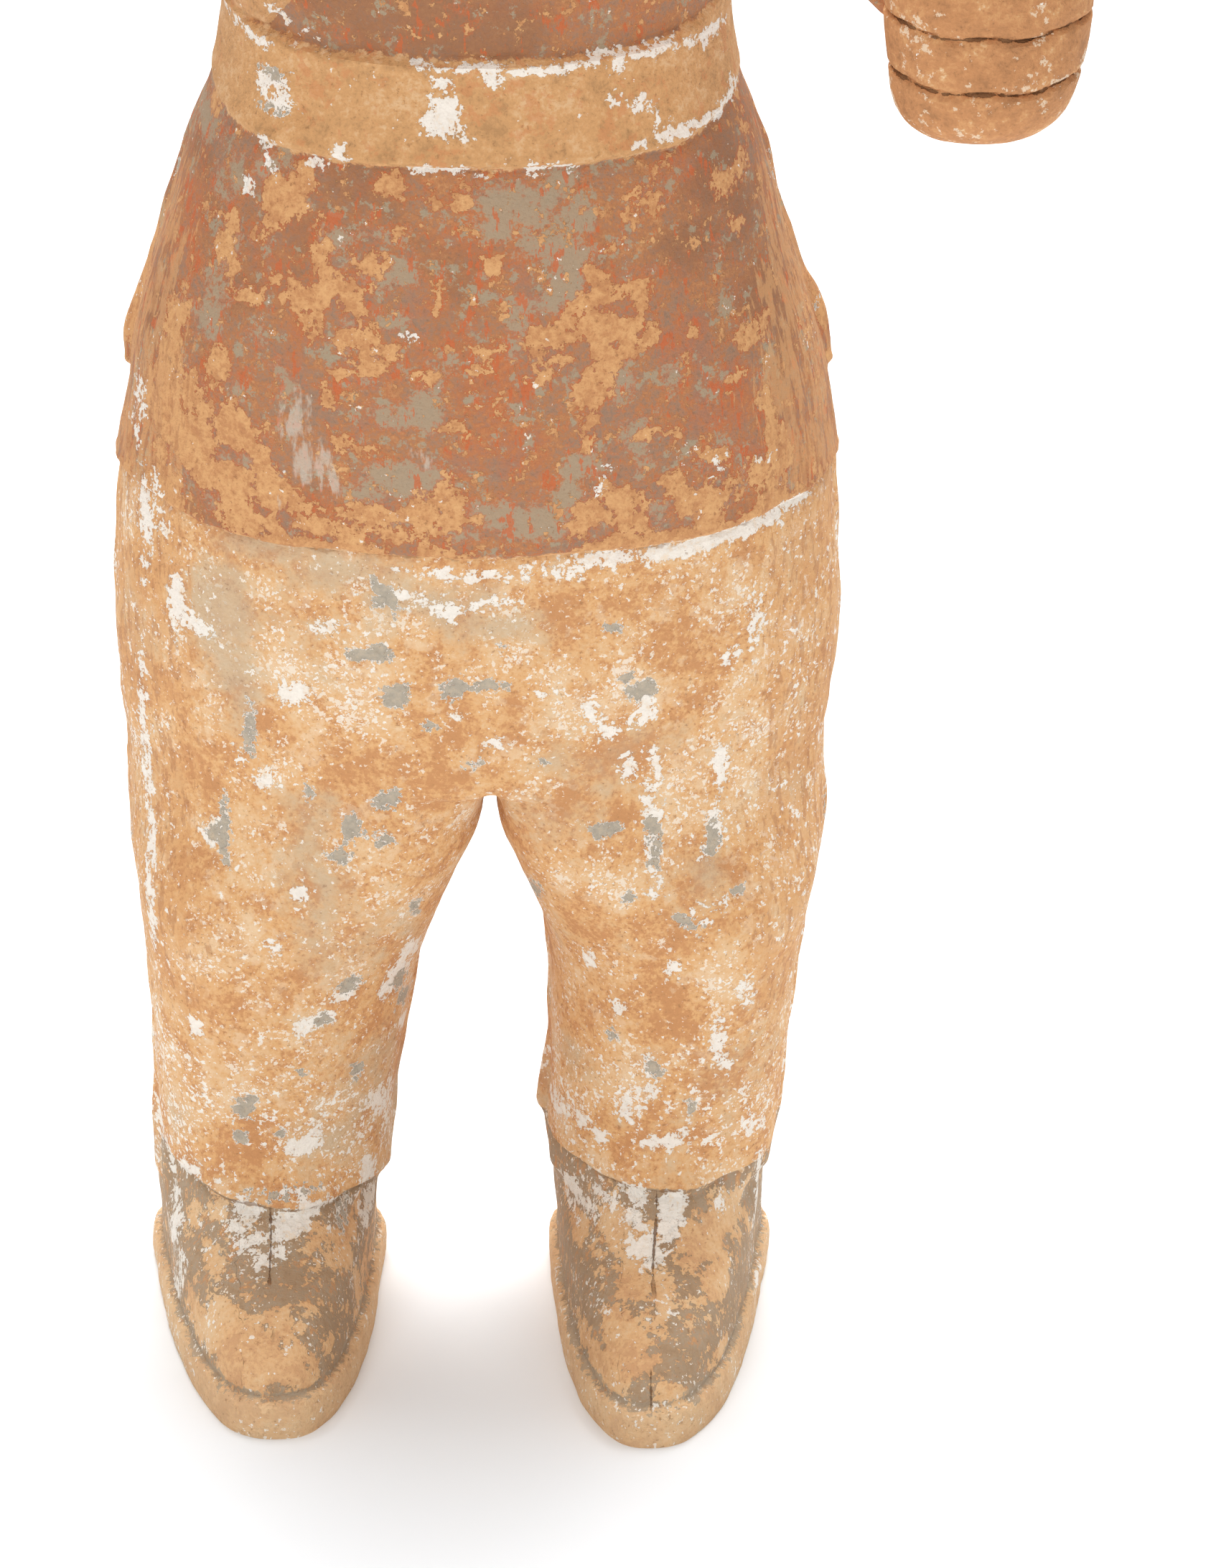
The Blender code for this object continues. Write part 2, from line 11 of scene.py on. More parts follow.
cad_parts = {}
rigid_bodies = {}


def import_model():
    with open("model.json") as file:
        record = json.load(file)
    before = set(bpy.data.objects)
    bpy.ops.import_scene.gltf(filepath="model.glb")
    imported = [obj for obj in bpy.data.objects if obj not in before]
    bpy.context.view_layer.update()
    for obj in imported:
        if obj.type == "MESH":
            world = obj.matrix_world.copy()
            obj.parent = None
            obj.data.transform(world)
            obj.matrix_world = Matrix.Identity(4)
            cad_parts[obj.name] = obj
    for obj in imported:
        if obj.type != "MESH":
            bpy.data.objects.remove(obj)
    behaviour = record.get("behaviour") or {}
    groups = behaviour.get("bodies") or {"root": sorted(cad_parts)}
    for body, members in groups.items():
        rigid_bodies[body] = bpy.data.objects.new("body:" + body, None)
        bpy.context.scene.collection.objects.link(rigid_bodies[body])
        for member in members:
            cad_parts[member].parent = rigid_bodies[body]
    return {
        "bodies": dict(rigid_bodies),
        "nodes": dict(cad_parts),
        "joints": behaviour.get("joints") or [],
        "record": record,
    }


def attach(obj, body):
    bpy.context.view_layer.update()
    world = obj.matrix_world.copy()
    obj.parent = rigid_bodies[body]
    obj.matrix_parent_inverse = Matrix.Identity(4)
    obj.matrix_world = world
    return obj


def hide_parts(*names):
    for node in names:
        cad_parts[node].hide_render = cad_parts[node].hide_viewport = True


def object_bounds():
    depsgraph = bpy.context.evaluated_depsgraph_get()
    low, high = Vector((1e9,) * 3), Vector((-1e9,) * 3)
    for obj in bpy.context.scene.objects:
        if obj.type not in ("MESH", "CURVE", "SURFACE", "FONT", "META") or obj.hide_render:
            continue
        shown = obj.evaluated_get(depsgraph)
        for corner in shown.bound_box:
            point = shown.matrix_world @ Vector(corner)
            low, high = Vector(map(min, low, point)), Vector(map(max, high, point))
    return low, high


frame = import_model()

bl_info = {
    "name": "Pottery warrior",
    "version": (1, 0, 0),
    "blender": (4, 5, 0),
    "location": "View3D > Sidebar > Pottery",
    "description": "Models a moulded, painted and long buried pottery warrior, and a plain stage",
    "category": "Add Mesh",
}

cad_low, cad_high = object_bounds()

# The figure is drawn 680 parts high, and each part is a share of its height, so a part is 1 mm.
PART = 0.001
SIDES = 120  # corners round a lofted section
RINGS = 8  # rings between two stations of a loft
VOXEL = 1.15
SMOOTH_ROUNDS = 22
TRIANGLES = 192000
FINEST = 0.25  # millimetres across the finest grain that shows
GRAIN_HEIGHT = 0.0006  # metres of relief that the material's bump stands for
CUT_DEPTH = 4.0  # the boots are modelled this far below the ground, and then cut flat
ROUND = 2.05  # power of the body's ovals, where 2 is an ellipse and more is squarer
BALL_SIDES = 48  # corners round a ball, and rings from pole to pole
BALL_RINGS = 30
SHARP_ANGLE = 50  # degrees between two faces from which their edge is shaded sharp
TUBE_CORNERS = 10  # bevel steps round a quarter of a tube
END_SHARE = 0.98  # a tube's round ends as a share of its radius, so that they stay under its skin
OUTSIDE = -14.0  # what a finish says of a point well outside it, in parts
OFF_LINE = 9.0  # distance that is well off any cut, in parts

# The camera stands above and in front of the belt's height, as a photographer's on a high tripod.
LENS = 181.3
CAMERA_PLACE = (0.0293, -1.9378, 1.1257)
CAMERA_AIM = (0.0293, 0.0395, 0.1613)

PAPER = (0.885, 0.915, 0.94, 1)  # linear, and a little blue because the figure throws warm light on it
FLOOR_WIDTH = 14  # metres
AMBIENT = 0.55  # strength of the even light from all round
# Name, place, point it faces, width in metres and watts of each soft lamp.
LAMPS = (
    ("overhead", (0.1, 0.75, 2.3), (0, 0, 0.1), 1.7, 84),
    ("front", (-0.6, -2.1, 2.2), (0, 0, 0.2), 1.6, 26),
)
# Noises that all the paint's layers share, since no two layers show at one place: name, millimetres
# across a lump, roughness, shift and stretch.
GRAINS = (
    ("broad", 21, 0.60, 13.0),
    ("torn", 13, 0.68, 29.0),
    ("cloud", 8.5, 0.66, 37.0),
    ("patch", 5.2, 0.70, 33.0),
    ("flake", 3.9, 0.72, 6.0),
    ("tight", 2.8, 0.68, 59.0),
    ("fleck", 1.9, 0.66, 67.0),
    ("crumb", 1.3, 0.70, 12.0),
    ("streak", 3.2, 0.68, 61.0, (1, 1, 0.13)),
    ("brush", 2.4, 0.66, 19.0, (1, 1, 0.32)),
)

# Loft stations: height, left edge, right edge, reach to the front, reach to the back.
TRUNK = (
    (181, -96.5, 96, 52, 48),
    (195, -98.2, 98, 54.5, 50),
    (225, -98.8, 99.6, 60, 55),
    (262, -96.6, 97.6, 64, 58),
    (285, -92.5, 94, 65, 58),
    (302, -90, 90, 65, 57),
    (327, -83, 83, 64, 56),
    (352, -76.3, 77.5, 62, 54),
    (364, -73.0, 74.6, 60.5, 53),
    (375, -69.2, 71.0, 59, 52),
    (397, -65.5, 68, 57, 51),
    (420, -70, 72, 58, 52),
    (455, -78, 79, 59, 53),
    (490, -82, 83, 56, 51),
    (514, -79, 80, 49, 46),
    (530, -62, 63, 39, 38),
    (541, -40, 41, 31, 31),
    (550, -29, 29, 27, 27),
    (566, -26, 26, 25, 25),
    (590, -25, 25, 24, 25),
)
# Leg stations: height, inner and outer edge of each leg, reach to the front and to the back.
LEGS = (
    (42, -26.0, -88.6, 19.0, 81.6, 31, 34),
    (55, -25.5, -90.2, 19.2, 83.4, 32, 35),
    (73, -24.0, -91.6, 19.8, 85.4, 34, 36),
    (92, -20.6, -92.6, 20.0, 87.6, 37, 38),
    (110, -17.3, -93.6, 20.0, 89.6, 40, 40),
    (128, -11.4, -94.6, 17.2, 92.2, 43, 42),
    (146, -5.0, -96.2, 11.4, 95.4, 47, 45),
    (160, 0.8, -97.4, 6.2, 96.8, 50, 47),
    (169, 3.0, -97.8, 4.0, 97.2, 51, 47),
    (176, 9.0, -97.6, -2.0, 97.0, 51, 47),
    (186, 18.0, -95.5, -11.0, 95.0, 48, 44),
    (198, 20.0, -84.0, -14.0, 84.0, 36, 32),
)
LEG_POWER = 2.2  # power of the legs' ovals, and what it gains towards the crotch
LEG_SQUARING = 1.4
# How the back of each trouser leg hangs over the boot: height of its hem, inner and outer edge
# there, and the same at the top, where it runs into the leg.
BACK_HEMS = (
    (36, -27.0, -94.2, 86, -22.5, -92.0),
    (58, 15.6, 84.8, 92, 20.5, 86.5),
)
BACK_HEM_REACH = 38.0
BACK_HEM_MIDDLE = 8  # how far behind the figure's middle it is widest
BACK_HEM_FRONT = 12  # reach forward from there
BACK_HEM_POWER = 2.6
# Boot stations above the sole: height, half width, reach to the toe, reach to the heel,
# and how far behind the middle of the figure the boot is widest.
BOOT = (
    (4, 31.6, 83.0, 38.5, 20),
    (15, 31.8, 82.0, 38.5, 20),
    (21, 31.8, 77.5, 38.0, 18),
    (28, 32.3, 68.0, 37.0, 15),
    (36, 32.5, 55.5, 36.0, 11),
    (45, 32.2, 43.5, 35.0, 7),
    (55, 31.4, 34.5, 34.0, 3),
    (66, 31.0, 32.0, 33.0, 2),
)
BOOT_TAPER = 0.25  # how much narrower than an oval the boot is towards its toe
BOOT_POWER = 2.7
# Middle of each heel, reach of its toe, how far the toe turns in over the boot's length, and the
# boot's share of the width above.
BOOT_AXES = ((-61.8, 84.5, 0.050, 1.01), (50.8, 89.5, -0.024, 0.955))
HEEL_REACH = 39.0
HEEL_MIDDLE = 20.0
SOLE_HALF_WIDTH = 31.8
HEM_FRONT = 48.0  # height of the trouser hems over the boots

SKIRT_FRONT = 260.0  # height of the tunic's hem at the front, at the side seams and at the back
SKIRT_SIDE = 287.0
SKIRT_BACK = 266.0
BELT_FOOT = 369.0  # height of the belt's lower edge at the front
BELT_RISE = 7.0  # how much higher it runs at the sides

# Arm paths: points with the sleeve's radius there, from shoulder to wrist.
LEFT_ARM = (
    (68, 2, 508, 27),
    (86, 4, 484, 28),
    (96, 5, 460, 28),
    (99, -12, 448, 27),
    (106, -42, 443, 25),
    (116, -72, 440, 23),
    (122, -88, 438, 22.5),
)
RIGHT_ARM = (
    (-68, 2, 508, 27),
    (-87, 4, 484, 28),
    (-99, 5, 464, 28),
    (-104, -8, 455, 27),
    (-110, -32, 463, 25),
    (-114, -56, 479, 23),
    (-116, -68, 488, 22.5),
)
# Fist stations, little finger to index: height, half width, reach forward and back.
FIST = (
    (-28, 9, 8, 8),
    (-26, 17, 14, 14),
    (-20, 23.0, 20, 19),
    (-8, 25.4, 22.5, 21),
    (6, 26.4, 23.0, 21),
    (18, 26.2, 22.0, 20),
    (25, 23.5, 18.0, 18),
    (28.5, 15.0, 10.0, 11),
)
FIST_HEIGHT = 54.0  # four fingers, one above the other
FIST_WIDTH = 52.0
FIST_DEPTH = 45.0
FINGER = 14.9  # from one cut between two fingers to the next
LOWEST_CUT = -10.5  # height of the lowest cut in the fist
FIST_FLARE = 0.12  # how much farther out the knuckles stand for each part up the fist
# Thumb stations, root to tip: how far out from the body, how far back, height over the fist's top,
# and radius.
THUMB = ((8, 14, -8, 8.5), (2, -2, 2, 7.6), (-9, -12, -1, 6.2))
WRIST_BACK = 12  # how far behind the fist's middle the wrist ends
WRIST_RADII = (16.5, 17.0)  # where it leaves the sleeve and where it ends
LEFT_FIST = (131, -116, 429)
RIGHT_FIST = (-118, -92, 512)
LEFT_TURN = 12.0  # degrees that each fist turns about the upright, and leans back
RIGHT_TURN = -6.0
LEFT_LEAN = 0.0
RIGHT_LEAN = 40.0

SLEEVE_FOLD = 1.3

HEAD = (0.0, -3.0, 612.0)
HEAD_RADII = (37.5, 43.0, 45.0)
CHIN_Z = 558.0
EYE_Z = 607.0
EYE_X = 15.5
NOSE_Z = 589.0
MOUTH_Z = 576.5
HAIRLINE_Z = 632.0
NECK_Z = 547.0  # the skin is bare above this height
HAIR_PROUD = 3.0
PINCHED_FOLD = ((-47, 374, -58, 360), (-58, 360, -60, 357))
DENT = (-43, 379)
CROTCH = (4.5, 176)
LAPEL_WIDTH = 11.0
LAPEL_SLOPE = 1.55  # how steeply the collar's edges run, and the place where one meets the shoulder
LAPEL_TOP = (30, 538)
LAPEL_PROUD = 1.8

# Patches on the front, seen from the front: middle x, height, half width, half height, and where
# the patch is tilted its tilt in degrees. Burial earth that lies on the tunic comes first.
EARTH_ON_TUNIC = (
    (-45, 331, 5.1, 3.8, -20), (-50, 334, 2.8, 1.9), (-38, 333, 2.8, 2.3), (-41, 323, 2.6, 3.9),
    (-31, 332, 4, 3.3), (-30, 322, 5.1, 2.8), (-26, 315, 4.8, 2.8), (-21, 319, 2.8, 2.3),
    (-36, 313, 2.2, 1.8), (-39, 343, 5.5, 1.5, -85), (-28, 345, 4.4, 1.5), (-26, 341, 3, 2.1),
    (-38, 339, 4.4, 1.3), (-49, 356, 5.1, 4.8), (-43, 362, 2.4, 3.3), (-52, 351, 3.2, 1.6),
    (-61, 345, 5.5, 1.4), (-66, 340, 2.4, 2.1), (-63, 334, 1.8, 4.4), (-58, 329, 2.2, 1.8),
    (-18, 363, 3, 3.8), (-20, 364, 3.6, 1.7), (-11, 362, 2.6, 2.1), (0, 364, 5.1, 2.3, 60),
    (-8, 358, 2, 2.5), (33, 339, 2.4, 3.4), (34, 333, 4.4, 3.8), (42, 333, 4.8, 1.9),
    (45, 329, 2.2, 2.7), (34, 325, 4.8, 4.3), (41, 323, 4.8, 3.3), (47, 321, 1.8, 3.5),
    (26, 325, 4.4, 2.1), (20, 323, 4.8, 3.5), (17, 319, 2.6, 2.4), (26, 318, 4, 1.8),
    (35, 318, 5.1, 3.6), (34, 312, 4.8, 3.6), (32, 306, 4, 4), (32, 300, 2.6, 4),
    (31, 294, 1.4, 2.9), (19, 313, 2.6, 1.4), (43, 318, 2.8, 2.6), (28, 330, 2.4, 1.2),
    (47, 355, 4, 2.4), (45, 359, 1.6, 2), (42, 352, 2.6, 2.8), (40, 347, 1.6, 1.9),
    (49, 363, 1.6, 1.4), (68, 354, 3.8, 2.5), (70, 341, 1.6, 1.1), (71, 312, 3.6, 1.8, -20),
    (76, 315, 1.8, 1.5), (58, 316, 1.4, 2.7, -20), (78, 296, 1.8, 2.7), (54, 292, 2.4, 1),
    (64, 284, 3.4, 1.6), (59, 283, 2.4, 1.8), (-11, 312, 4, 1.8), (-3, 300, 1.6, 3, -25),
    (-7, 298, 1.6, 1.4), (-38, 303, 1.8, 4.4, 12), (-34, 292, 2.2, 2.7), (-29, 290, 4.4, 1.7),
    (-27, 272, 7.5, 2.5), (-15, 273, 6.7, 2.9), (-5, 272, 5.5, 2.8), (-6, 279, 4.4, 2.9),
    (-12, 276, 2.4, 3.1), (-40, 267, 6.7, 2.1), (33, 272, 5.9, 4.2), (41, 274, 5.5, 4.3),
    (36, 279, 3.2, 2.1), (29, 268, 3.6, 3.4), (43, 268, 3.6, 2.4), (52, 279, 4.4, 2),
    (58, 273, 5.5, 3.3), (65, 269, 4.4, 3), (68, 275, 5.1, 1.8, -60), (77, 275, 4.4, 2.4, -60),
    (83, 278, 3.2, 5.4), (81, 266, 4, 3.1), (-83, 290, 4.8, 11.6), (-76, 284, 7.9, 7.2),
    (-63, 291, 6.3, 6.2), (-67, 276, 9.5, 4.9), (-51, 274, 7.5, 4.6), (-83, 265, 5.5, 8),
    (-59, 265, 7.5, 2.5), (-80, 304, 2.2, 8.6), (-75, 298, 2.6, 5.1), (-67, 307, 3.6, 4.6),
    (-78, 316, 1.4, 6.4, -10), (-72, 295, 2.8, 4.4), (-55, 282, 3.2, 4.2), (-9, 330, 1.2, 1),
    (-7, 338, 1, 1.5), (6, 344, 1.8, 2.1), (5, 321, 1.6, 1), (10, 302, 1.6, 1.2), (2, 315, 1.2, 1),
    (-22, 352, 2.6, 1), (80, 285, 1.8, 3.8), (47, 293, 2, 1),
)
# Worn to grey.
GREY_ON_TUNIC = (
    (9, 360, 9.1, 4.2), (21, 361, 9.1, 3.8, 60), (28, 355, 5.1, 4.9), (7, 353, 5.5, 3.8),
    (16, 348, 5.1, 2.2), (25, 346, 6.7, 3.8, -30), (26, 338, 4.4, 4.5), (22, 333, 3.6, 3.1),
    (12, 328, 2.8, 4.3), (12, 321, 2.4, 2.8), (-35, 348, 3.6, 2.3), (-22, 350, 5.1, 1.9),
    (-18, 341, 4.4, 3.1), (-25, 338, 3.6, 1.5), (-37, 337, 2, 2.3), (-33, 325, 2.8, 2.3),
    (-21, 327, 3.6, 2.3), (-7, 316, 3, 4), (-12, 303, 5.1, 5.3), (-21, 301, 4.4, 2.5),
    (-18, 283, 10.3, 4.6), (-30, 277, 6.7, 2.5), (-12, 280, 2.8, 2.1), (8, 274, 8.7, 3.4),
    (19, 270, 9.5, 3.8), (25, 276, 4.4, 5.4), (27, 286, 3.6, 3.7), (-62, 358, 3.2, 3.8),
    (-48, 367, 2, 3.7), (-53, 362, 2.8, 2.8), (-66, 355, 1.8, 3.1), (-70, 366, 3.2, 4.5),
    (-67, 375, 1.8, 3.9), (-64, 336, 1.8, 5), (-68, 327, 2.2, 4.4), (-70, 319, 2.4, 4.1),
    (-79, 306, 2.2, 1.7), (-62, 342, 2.4, 1.4), (-56, 318, 2.6, 1.7), (-49, 306, 2.4, 1.8),
    (-62, 302, 2.4, 2), (-83, 281, 2.2, 2.3), (-63, 282, 5.1, 1.8), (-75, 268, 5.1, 2.1),
    (39, 311, 2.4, 6.4), (53, 308, 2.8, 4), (43, 294, 2.8, 4.4), (46, 284, 2.2, 3),
    (50, 270, 2.2, 3.2), (33, 287, 2.6, 2.5), (-3, 268, 3.2, 1.7),
)
# Bright red pigment.
RED_ON_TUNIC = (
    (6, 309, 9.1, 12.5), (-1, 289, 5.1, 7.5), (12, 293, 7.1, 9), (1, 350, 5.1, 6.5),
    (-7, 348, 4, 3.8), (-10, 331, 5.1, 3.3), (-3, 322, 5.1, 5.1), (-52, 336, 4.8, 4.8),
    (-54, 341, 3.6, 2.9), (-45, 322, 3.2, 3.5), (-49, 314, 3.6, 2.3), (-35, 306, 2.4, 3.6),
    (-60, 305, 2.8, 2.3), (23, 330, 4.8, 1.2), (40, 336, 3.2, 0.9), (57, 315, 7.1, 8.5),
    (66, 298, 9.9, 9.7), (71, 321, 3.6, 6.5), (55, 362, 2.2, 3.3), (77, 282, 3.6, 5.1),
    (65, 284, 5.1, 3.3), (52, 335, 5.1, 1.7), (-42, 347, 5.1, 2.4), (9, 412, 11.9, 1.8),
    (33, 284, 5.1, 2.5), (6, 277, 6.7, 3.4), (-18, 313, 3.6, 1.8), (-37, 368, 1.8, 1),
    (-74, 343, 1.8, 5.8), (-80, 332, 1.6, 4), (-70, 304, 1.8, 3.3), (-8, 340, 2.8, 1.9),
    (-30, 298, 3.2, 2.4), (-22, 309, 2.8, 1.6),
)
# Darkened pigment; the patches down the flanks and just under the belt at the sides are painted shade.
DARK_AND_SHADE_ON_TUNIC = (
    (65, 357, 8.7, 8.9), (71, 343, 6.7, 8.9), (61, 342, 8.7, 6.3), (77, 319, 5.1, 8.8),
    (67, 364, 6.7, 2.7), (-6, 404, 12.7, 5.1), (9, 402, 9.9, 3.8), (-10, 411, 11.9, 5.3),
    (7, 410, 11.1, 5.3), (82, 299, 2.4, 18.1), (81, 321, 2, 10), (-82, 320, 2.4, 8.2),
    (-85, 309, 1.8, 5.7), (-70, 359, 3.2, 5.7), (-68, 348, 2, 5.2),
)
# White slip on the belt, trousers and boots.
SLIP_PATCHES = (
    (-53, 386, 3, 1.9, 50), (-50, 385, 1.8, 1.7), (-50, 380, 2.6, 1.3), (-51, 378, 1, 0.7),
    (39, 384, 1.4, 1.7), (45, 383, 1.4, 1.7), (50, 380, 1, 0.7), (-6, 386, 3.8, 2.5),
    (-7, 381, 4.6, 3), (-2, 379, 1.6, 1.1), (6, 393, 2.4, 1.1), (-7, 392, 2, 1.5),
    (-54, 369, 1.6, 1.1), (18, 369, 2.4, 1.5), (51, 372, 2.6, 1.2), (38, 395, 2.4, 2.6),
    (-34, 371, 2, 1.7), (-40, 367, 1.4, 0.8), (-58, 356, 1, 1.3), (-53, 363, 1, 1.2),
    (-15, 324, 1.4, 0.6), (77, 279, 1.2, 0.6), (66, 279, 0.8, 1.8), (36, 285, 0.8, 1),
    (33, 279, 1.6, 1.2), (-89, 255, 1.4, 6.3), (-86, 262, 0.8, 4.2), (-83, 254, 1.8, 1.9),
    (-90, 286, 0.8, 2.6), (-75, 229, 3.2, 2.5), (-19, 247, 5.9, 2), (-11, 245, 3.2, 1.3),
    (-7, 242, 2.4, 2.2), (-48, 215, 4.4, 3), (-50, 212, 2, 2.3), (-57, 184, 2.8, 3.5),
    (38, 204, 2.8, 1.7), (34, 202, 2, 1.7), (31, 210, 1.8, 3.1), (70, 221, 2.4, 2.3),
    (76, 231, 1.6, 5.3), (4, 201, 2.4, 2.1), (42, 190, 2.2, 3.3), (49, 189, 2, 5.2),
    (47, 182, 1.2, 2.7), (48, 173, 2, 4.9), (48, 164, 1.6, 3.8), (49, 154, 1.2, 3),
    (67, 187, 1.6, 6.2), (65, 168, 2, 4.8), (64, 161, 1.6, 2), (46, 210, 2.6, 4.7),
    (-19, 123, 2.4, 4.7), (-22, 116, 2.8, 4.2), (-25, 111, 2, 3.1), (-35, 117, 2.8, 2.6),
    (-38, 114, 2.4, 2.3), (-45, 107, 4.4, 2), (-49, 105, 1.8, 2.2), (60, 141, 2.8, 1.1),
    (66, 145, 2.4, 0.8), (-50, 64, 5.1, 2.9), (-46, 68, 1.8, 2.2), (-32, 50, 2.4, 3.6),
    (-29, 73, 2.4, 3.1), (-83, 51, 3.6, 2.3, 60), (29, 69, 3.2, 2.1), (34, 66, 2.2, 2.1),
    (48, 93, 1.8, 4), (49, 83, 2, 3.5), (52, 66, 5.1, 2.3), (57, 69, 2, 1.7), (67, 101, 2.4, 4.5),
    (68, 92, 1.6, 3.5), (41, 75, 2.2, 2.2), (22, 68, 1.8, 3.2), (-65, 47, 3.6, 3.1),
    (-68, 43, 2.4, 1.4), (-64, 40, 3.4, 2.4), (-61, 37, 2, 1.2), (-53, 44, 4.8, 3.5),
    (-48, 47, 2.8, 2.5), (-55, 42, 4, 2.1), (-57, 39, 3.2, 1.1), (-39, 42, 2.6, 1.6),
    (-32, 34, 1.8, 3.3), (26, 43, 2.6, 2.8), (29, 43, 2.8, 1.5), (37, 48, 4.4, 1.1),
    (44, 51, 3.2, 2.8), (43, 46, 2.6, 2.1), (46, 40, 3.6, 2.3), (48, 38, 2.2, 1.1),
    (54, 48, 3.8, 3.9), (53, 43, 2.6, 2.7), (50, 40, 1.6, 1.1), (68, 44, 1, 1.5), (34, 29, 1, 0.5),
    (26, 37, 1, 0.8), (-80, 234, 2.4, 8.8), (-22, 93, 2, 2.1), (-4, 209, 1.6, 1.4),
    (19, 218, 2, 1.6), (-72, 164, 2.6, 3.7), (-40, 236, 3.6, 2.4), (8, 246, 5.1, 1.1),
    (-4, 244, 3.6, 0.9), (-65, 190, 1.6, 2.3), (-48, 151, 2, 1.8), (-56, 132, 1.8, 2.9),
    (-79, 102, 1.6, 3), (39, 111, 2, 2), (74, 115, 1.6, 4.2), (31, 126, 1.6, 2.6),
    (54, 125, 1.4, 2.2),
)
# Brush strokes on the front, seen from the front: two ends as x and height, then width.
SLIP_STREAKS = (
    (-65, 398, -60, 396, 1.4), (-60, 396, -53, 395, 1.6), (-52, 406, -48, 403, 1.4),
    (-48, 403, -38, 399, 1.6), (-14, 397, -10, 396, 1.2), (-10, 396, 7, 396, 1.4),
    (13, 395, 22, 395, 1.2), (22, 395, 33, 396, 1.6), (33, 397, 46, 396, 1.4),
    (46, 396, 54, 396, 1.8), (54, 395, 66, 393, 2.6), (-16, 368, -10, 369, 1.2),
    (-10, 369, -3, 369, 1.6), (-3, 369, 3, 367, 1.2), (14, 366, 17, 367, 1),
    (22, 369, 27, 368, 1.6), (42, 372, 52, 372, 1.2), (52, 373, 58, 372, 2.2),
    (58, 372, 65, 372, 2.6), (65, 372, 69, 375, 2.2), (68, 375, 69, 378, 1.2),
    (-89, 246, -90, 235, 1.4), (-91, 215, -91, 201, 1), (-92, 201, -91, 178, 1.6),
    (-91, 178, -90, 151, 1.4), (-91, 149, -90, 120, 0.8), (48, 164, 48, 152, 1),
    (-46, 49, -37, 42, 0.6), (-55, 52, -50, 51, 1.4), (-91, 60, -88, 48, 1.6),
    (-88, 48, -86, 36, 1.8), (-86, 36, -88, 25, 2), (-84, 29, -86, 14, 1.4), (79, 55, 79, 28, 1.2),
    (79, 27, 79, 9, 1), (20, 17, 21, 12, 1), (-92, 284, -90, 271, 0.8),
)
# Grey smears on the tunic.
SMEARS = (
    (-45, 305, -41, 291, 2), (-41, 291, -36, 278, 2.8), (-48, 294, -43, 282, 3.6),
    (-49, 302, -47, 294, 1.6), (-15, 293, -12, 287, 1.8), (-51, 273, -49, 271, 1.2),
)
# Chips down to the clay, as patches.
CLAY_CHIPS = (
    (-23, 247, 4, 1.6, -60), (-25, 245, 1.6, 1.3), (-28, 228, 4.4, 1.8), (-25, 230, 2.4, 1.6),
    (-31, 227, 1.6, 0.9), (-21, 215, 3.4, 2.8), (-19, 218, 1.6, 1.6), (-5, 219, 2.6, 2.8),
    (-7, 217, 1.4, 1.4), (3, 220, 4.4, 1), (38, 236, 1.8, 1.1), (41, 220, 1.2, 1.2),
    (46, 216, 2.4, 2.3), (44, 214, 1.8, 2.1), (-24, 181, 3, 2.3), (-22, 183, 1.4, 1.5),
    (-34, 172, 2, 2.6), (-33, 175, 1.2, 1.3), (-25, 169, 2.4, 1.6), (-37, 163, 2, 1.1),
    (35, 171, 3.4, 1.8), (37, 172, 1.6, 1.3), (0, 194, 1.6, 0.7), (-61, 201, 0.8, 3.3),
    (-61, 195, 1, 2.8), (-69, 171, 1, 4.4), (-69, 162, 1, 3.3), (-72, 164, 1.2, 2.1),
    (48, 170, 1.4, 3.5), (49, 163, 1.2, 3), (65, 165, 1.4, 3.9), (64, 161, 1, 1.6),
    (-65, 77, 2.6, 2.4), (-64, 80, 1.2, 1.5), (-67, 67, 1.4, 1.4), (-34, 86, 1.4, 2.1),
    (-22, 112, 1.4, 3.1), (-21, 103, 1.2, 2.1), (-36, 117, 2, 1.8), (-34, 119, 1.2, 1.3),
    (-43, 107, 2, 1), (-51, 388, 2, 0.8), (-51, 379, 1.6, 0.7), (-5, 145, 1, 1.3),
    (16, 145, 0.8, 2.3), (-17, 143, 1, 1.8), (-56, 69, 1.2, 1), (57, 141, 2.8, 0.9, -30),
    (42, 150, 1, 0.9), (49, 91, 1.4, 2.2), (-12, 207, 1.2, 0.9), (8, 232, 1, 0.7),
    (-45, 182, 0.8, 1.4), (19, 194, 1, 1), (72, 148, 1, 1), (37, 101, 1.2, 1.2), (59, 78, 1, 1.3),
    (-49, 90, 1, 1), (-39, 40, 0.6, 1.8), (-55, 51, 2.8, 0.5),
)
# Pale grey film, as patches.
PALE_AREAS = (
    (-68, 236, 9.5, 15.5), (-64, 216, 7.1, 10.2), (-34, 253, 14.7, 4.9), (-11, 245, 16.6, 4.5),
    (-54, 258, 12.7, 4.3), (-59, 358, 3.2, 6.1), (8, 239, 11.9, 4.4),
)
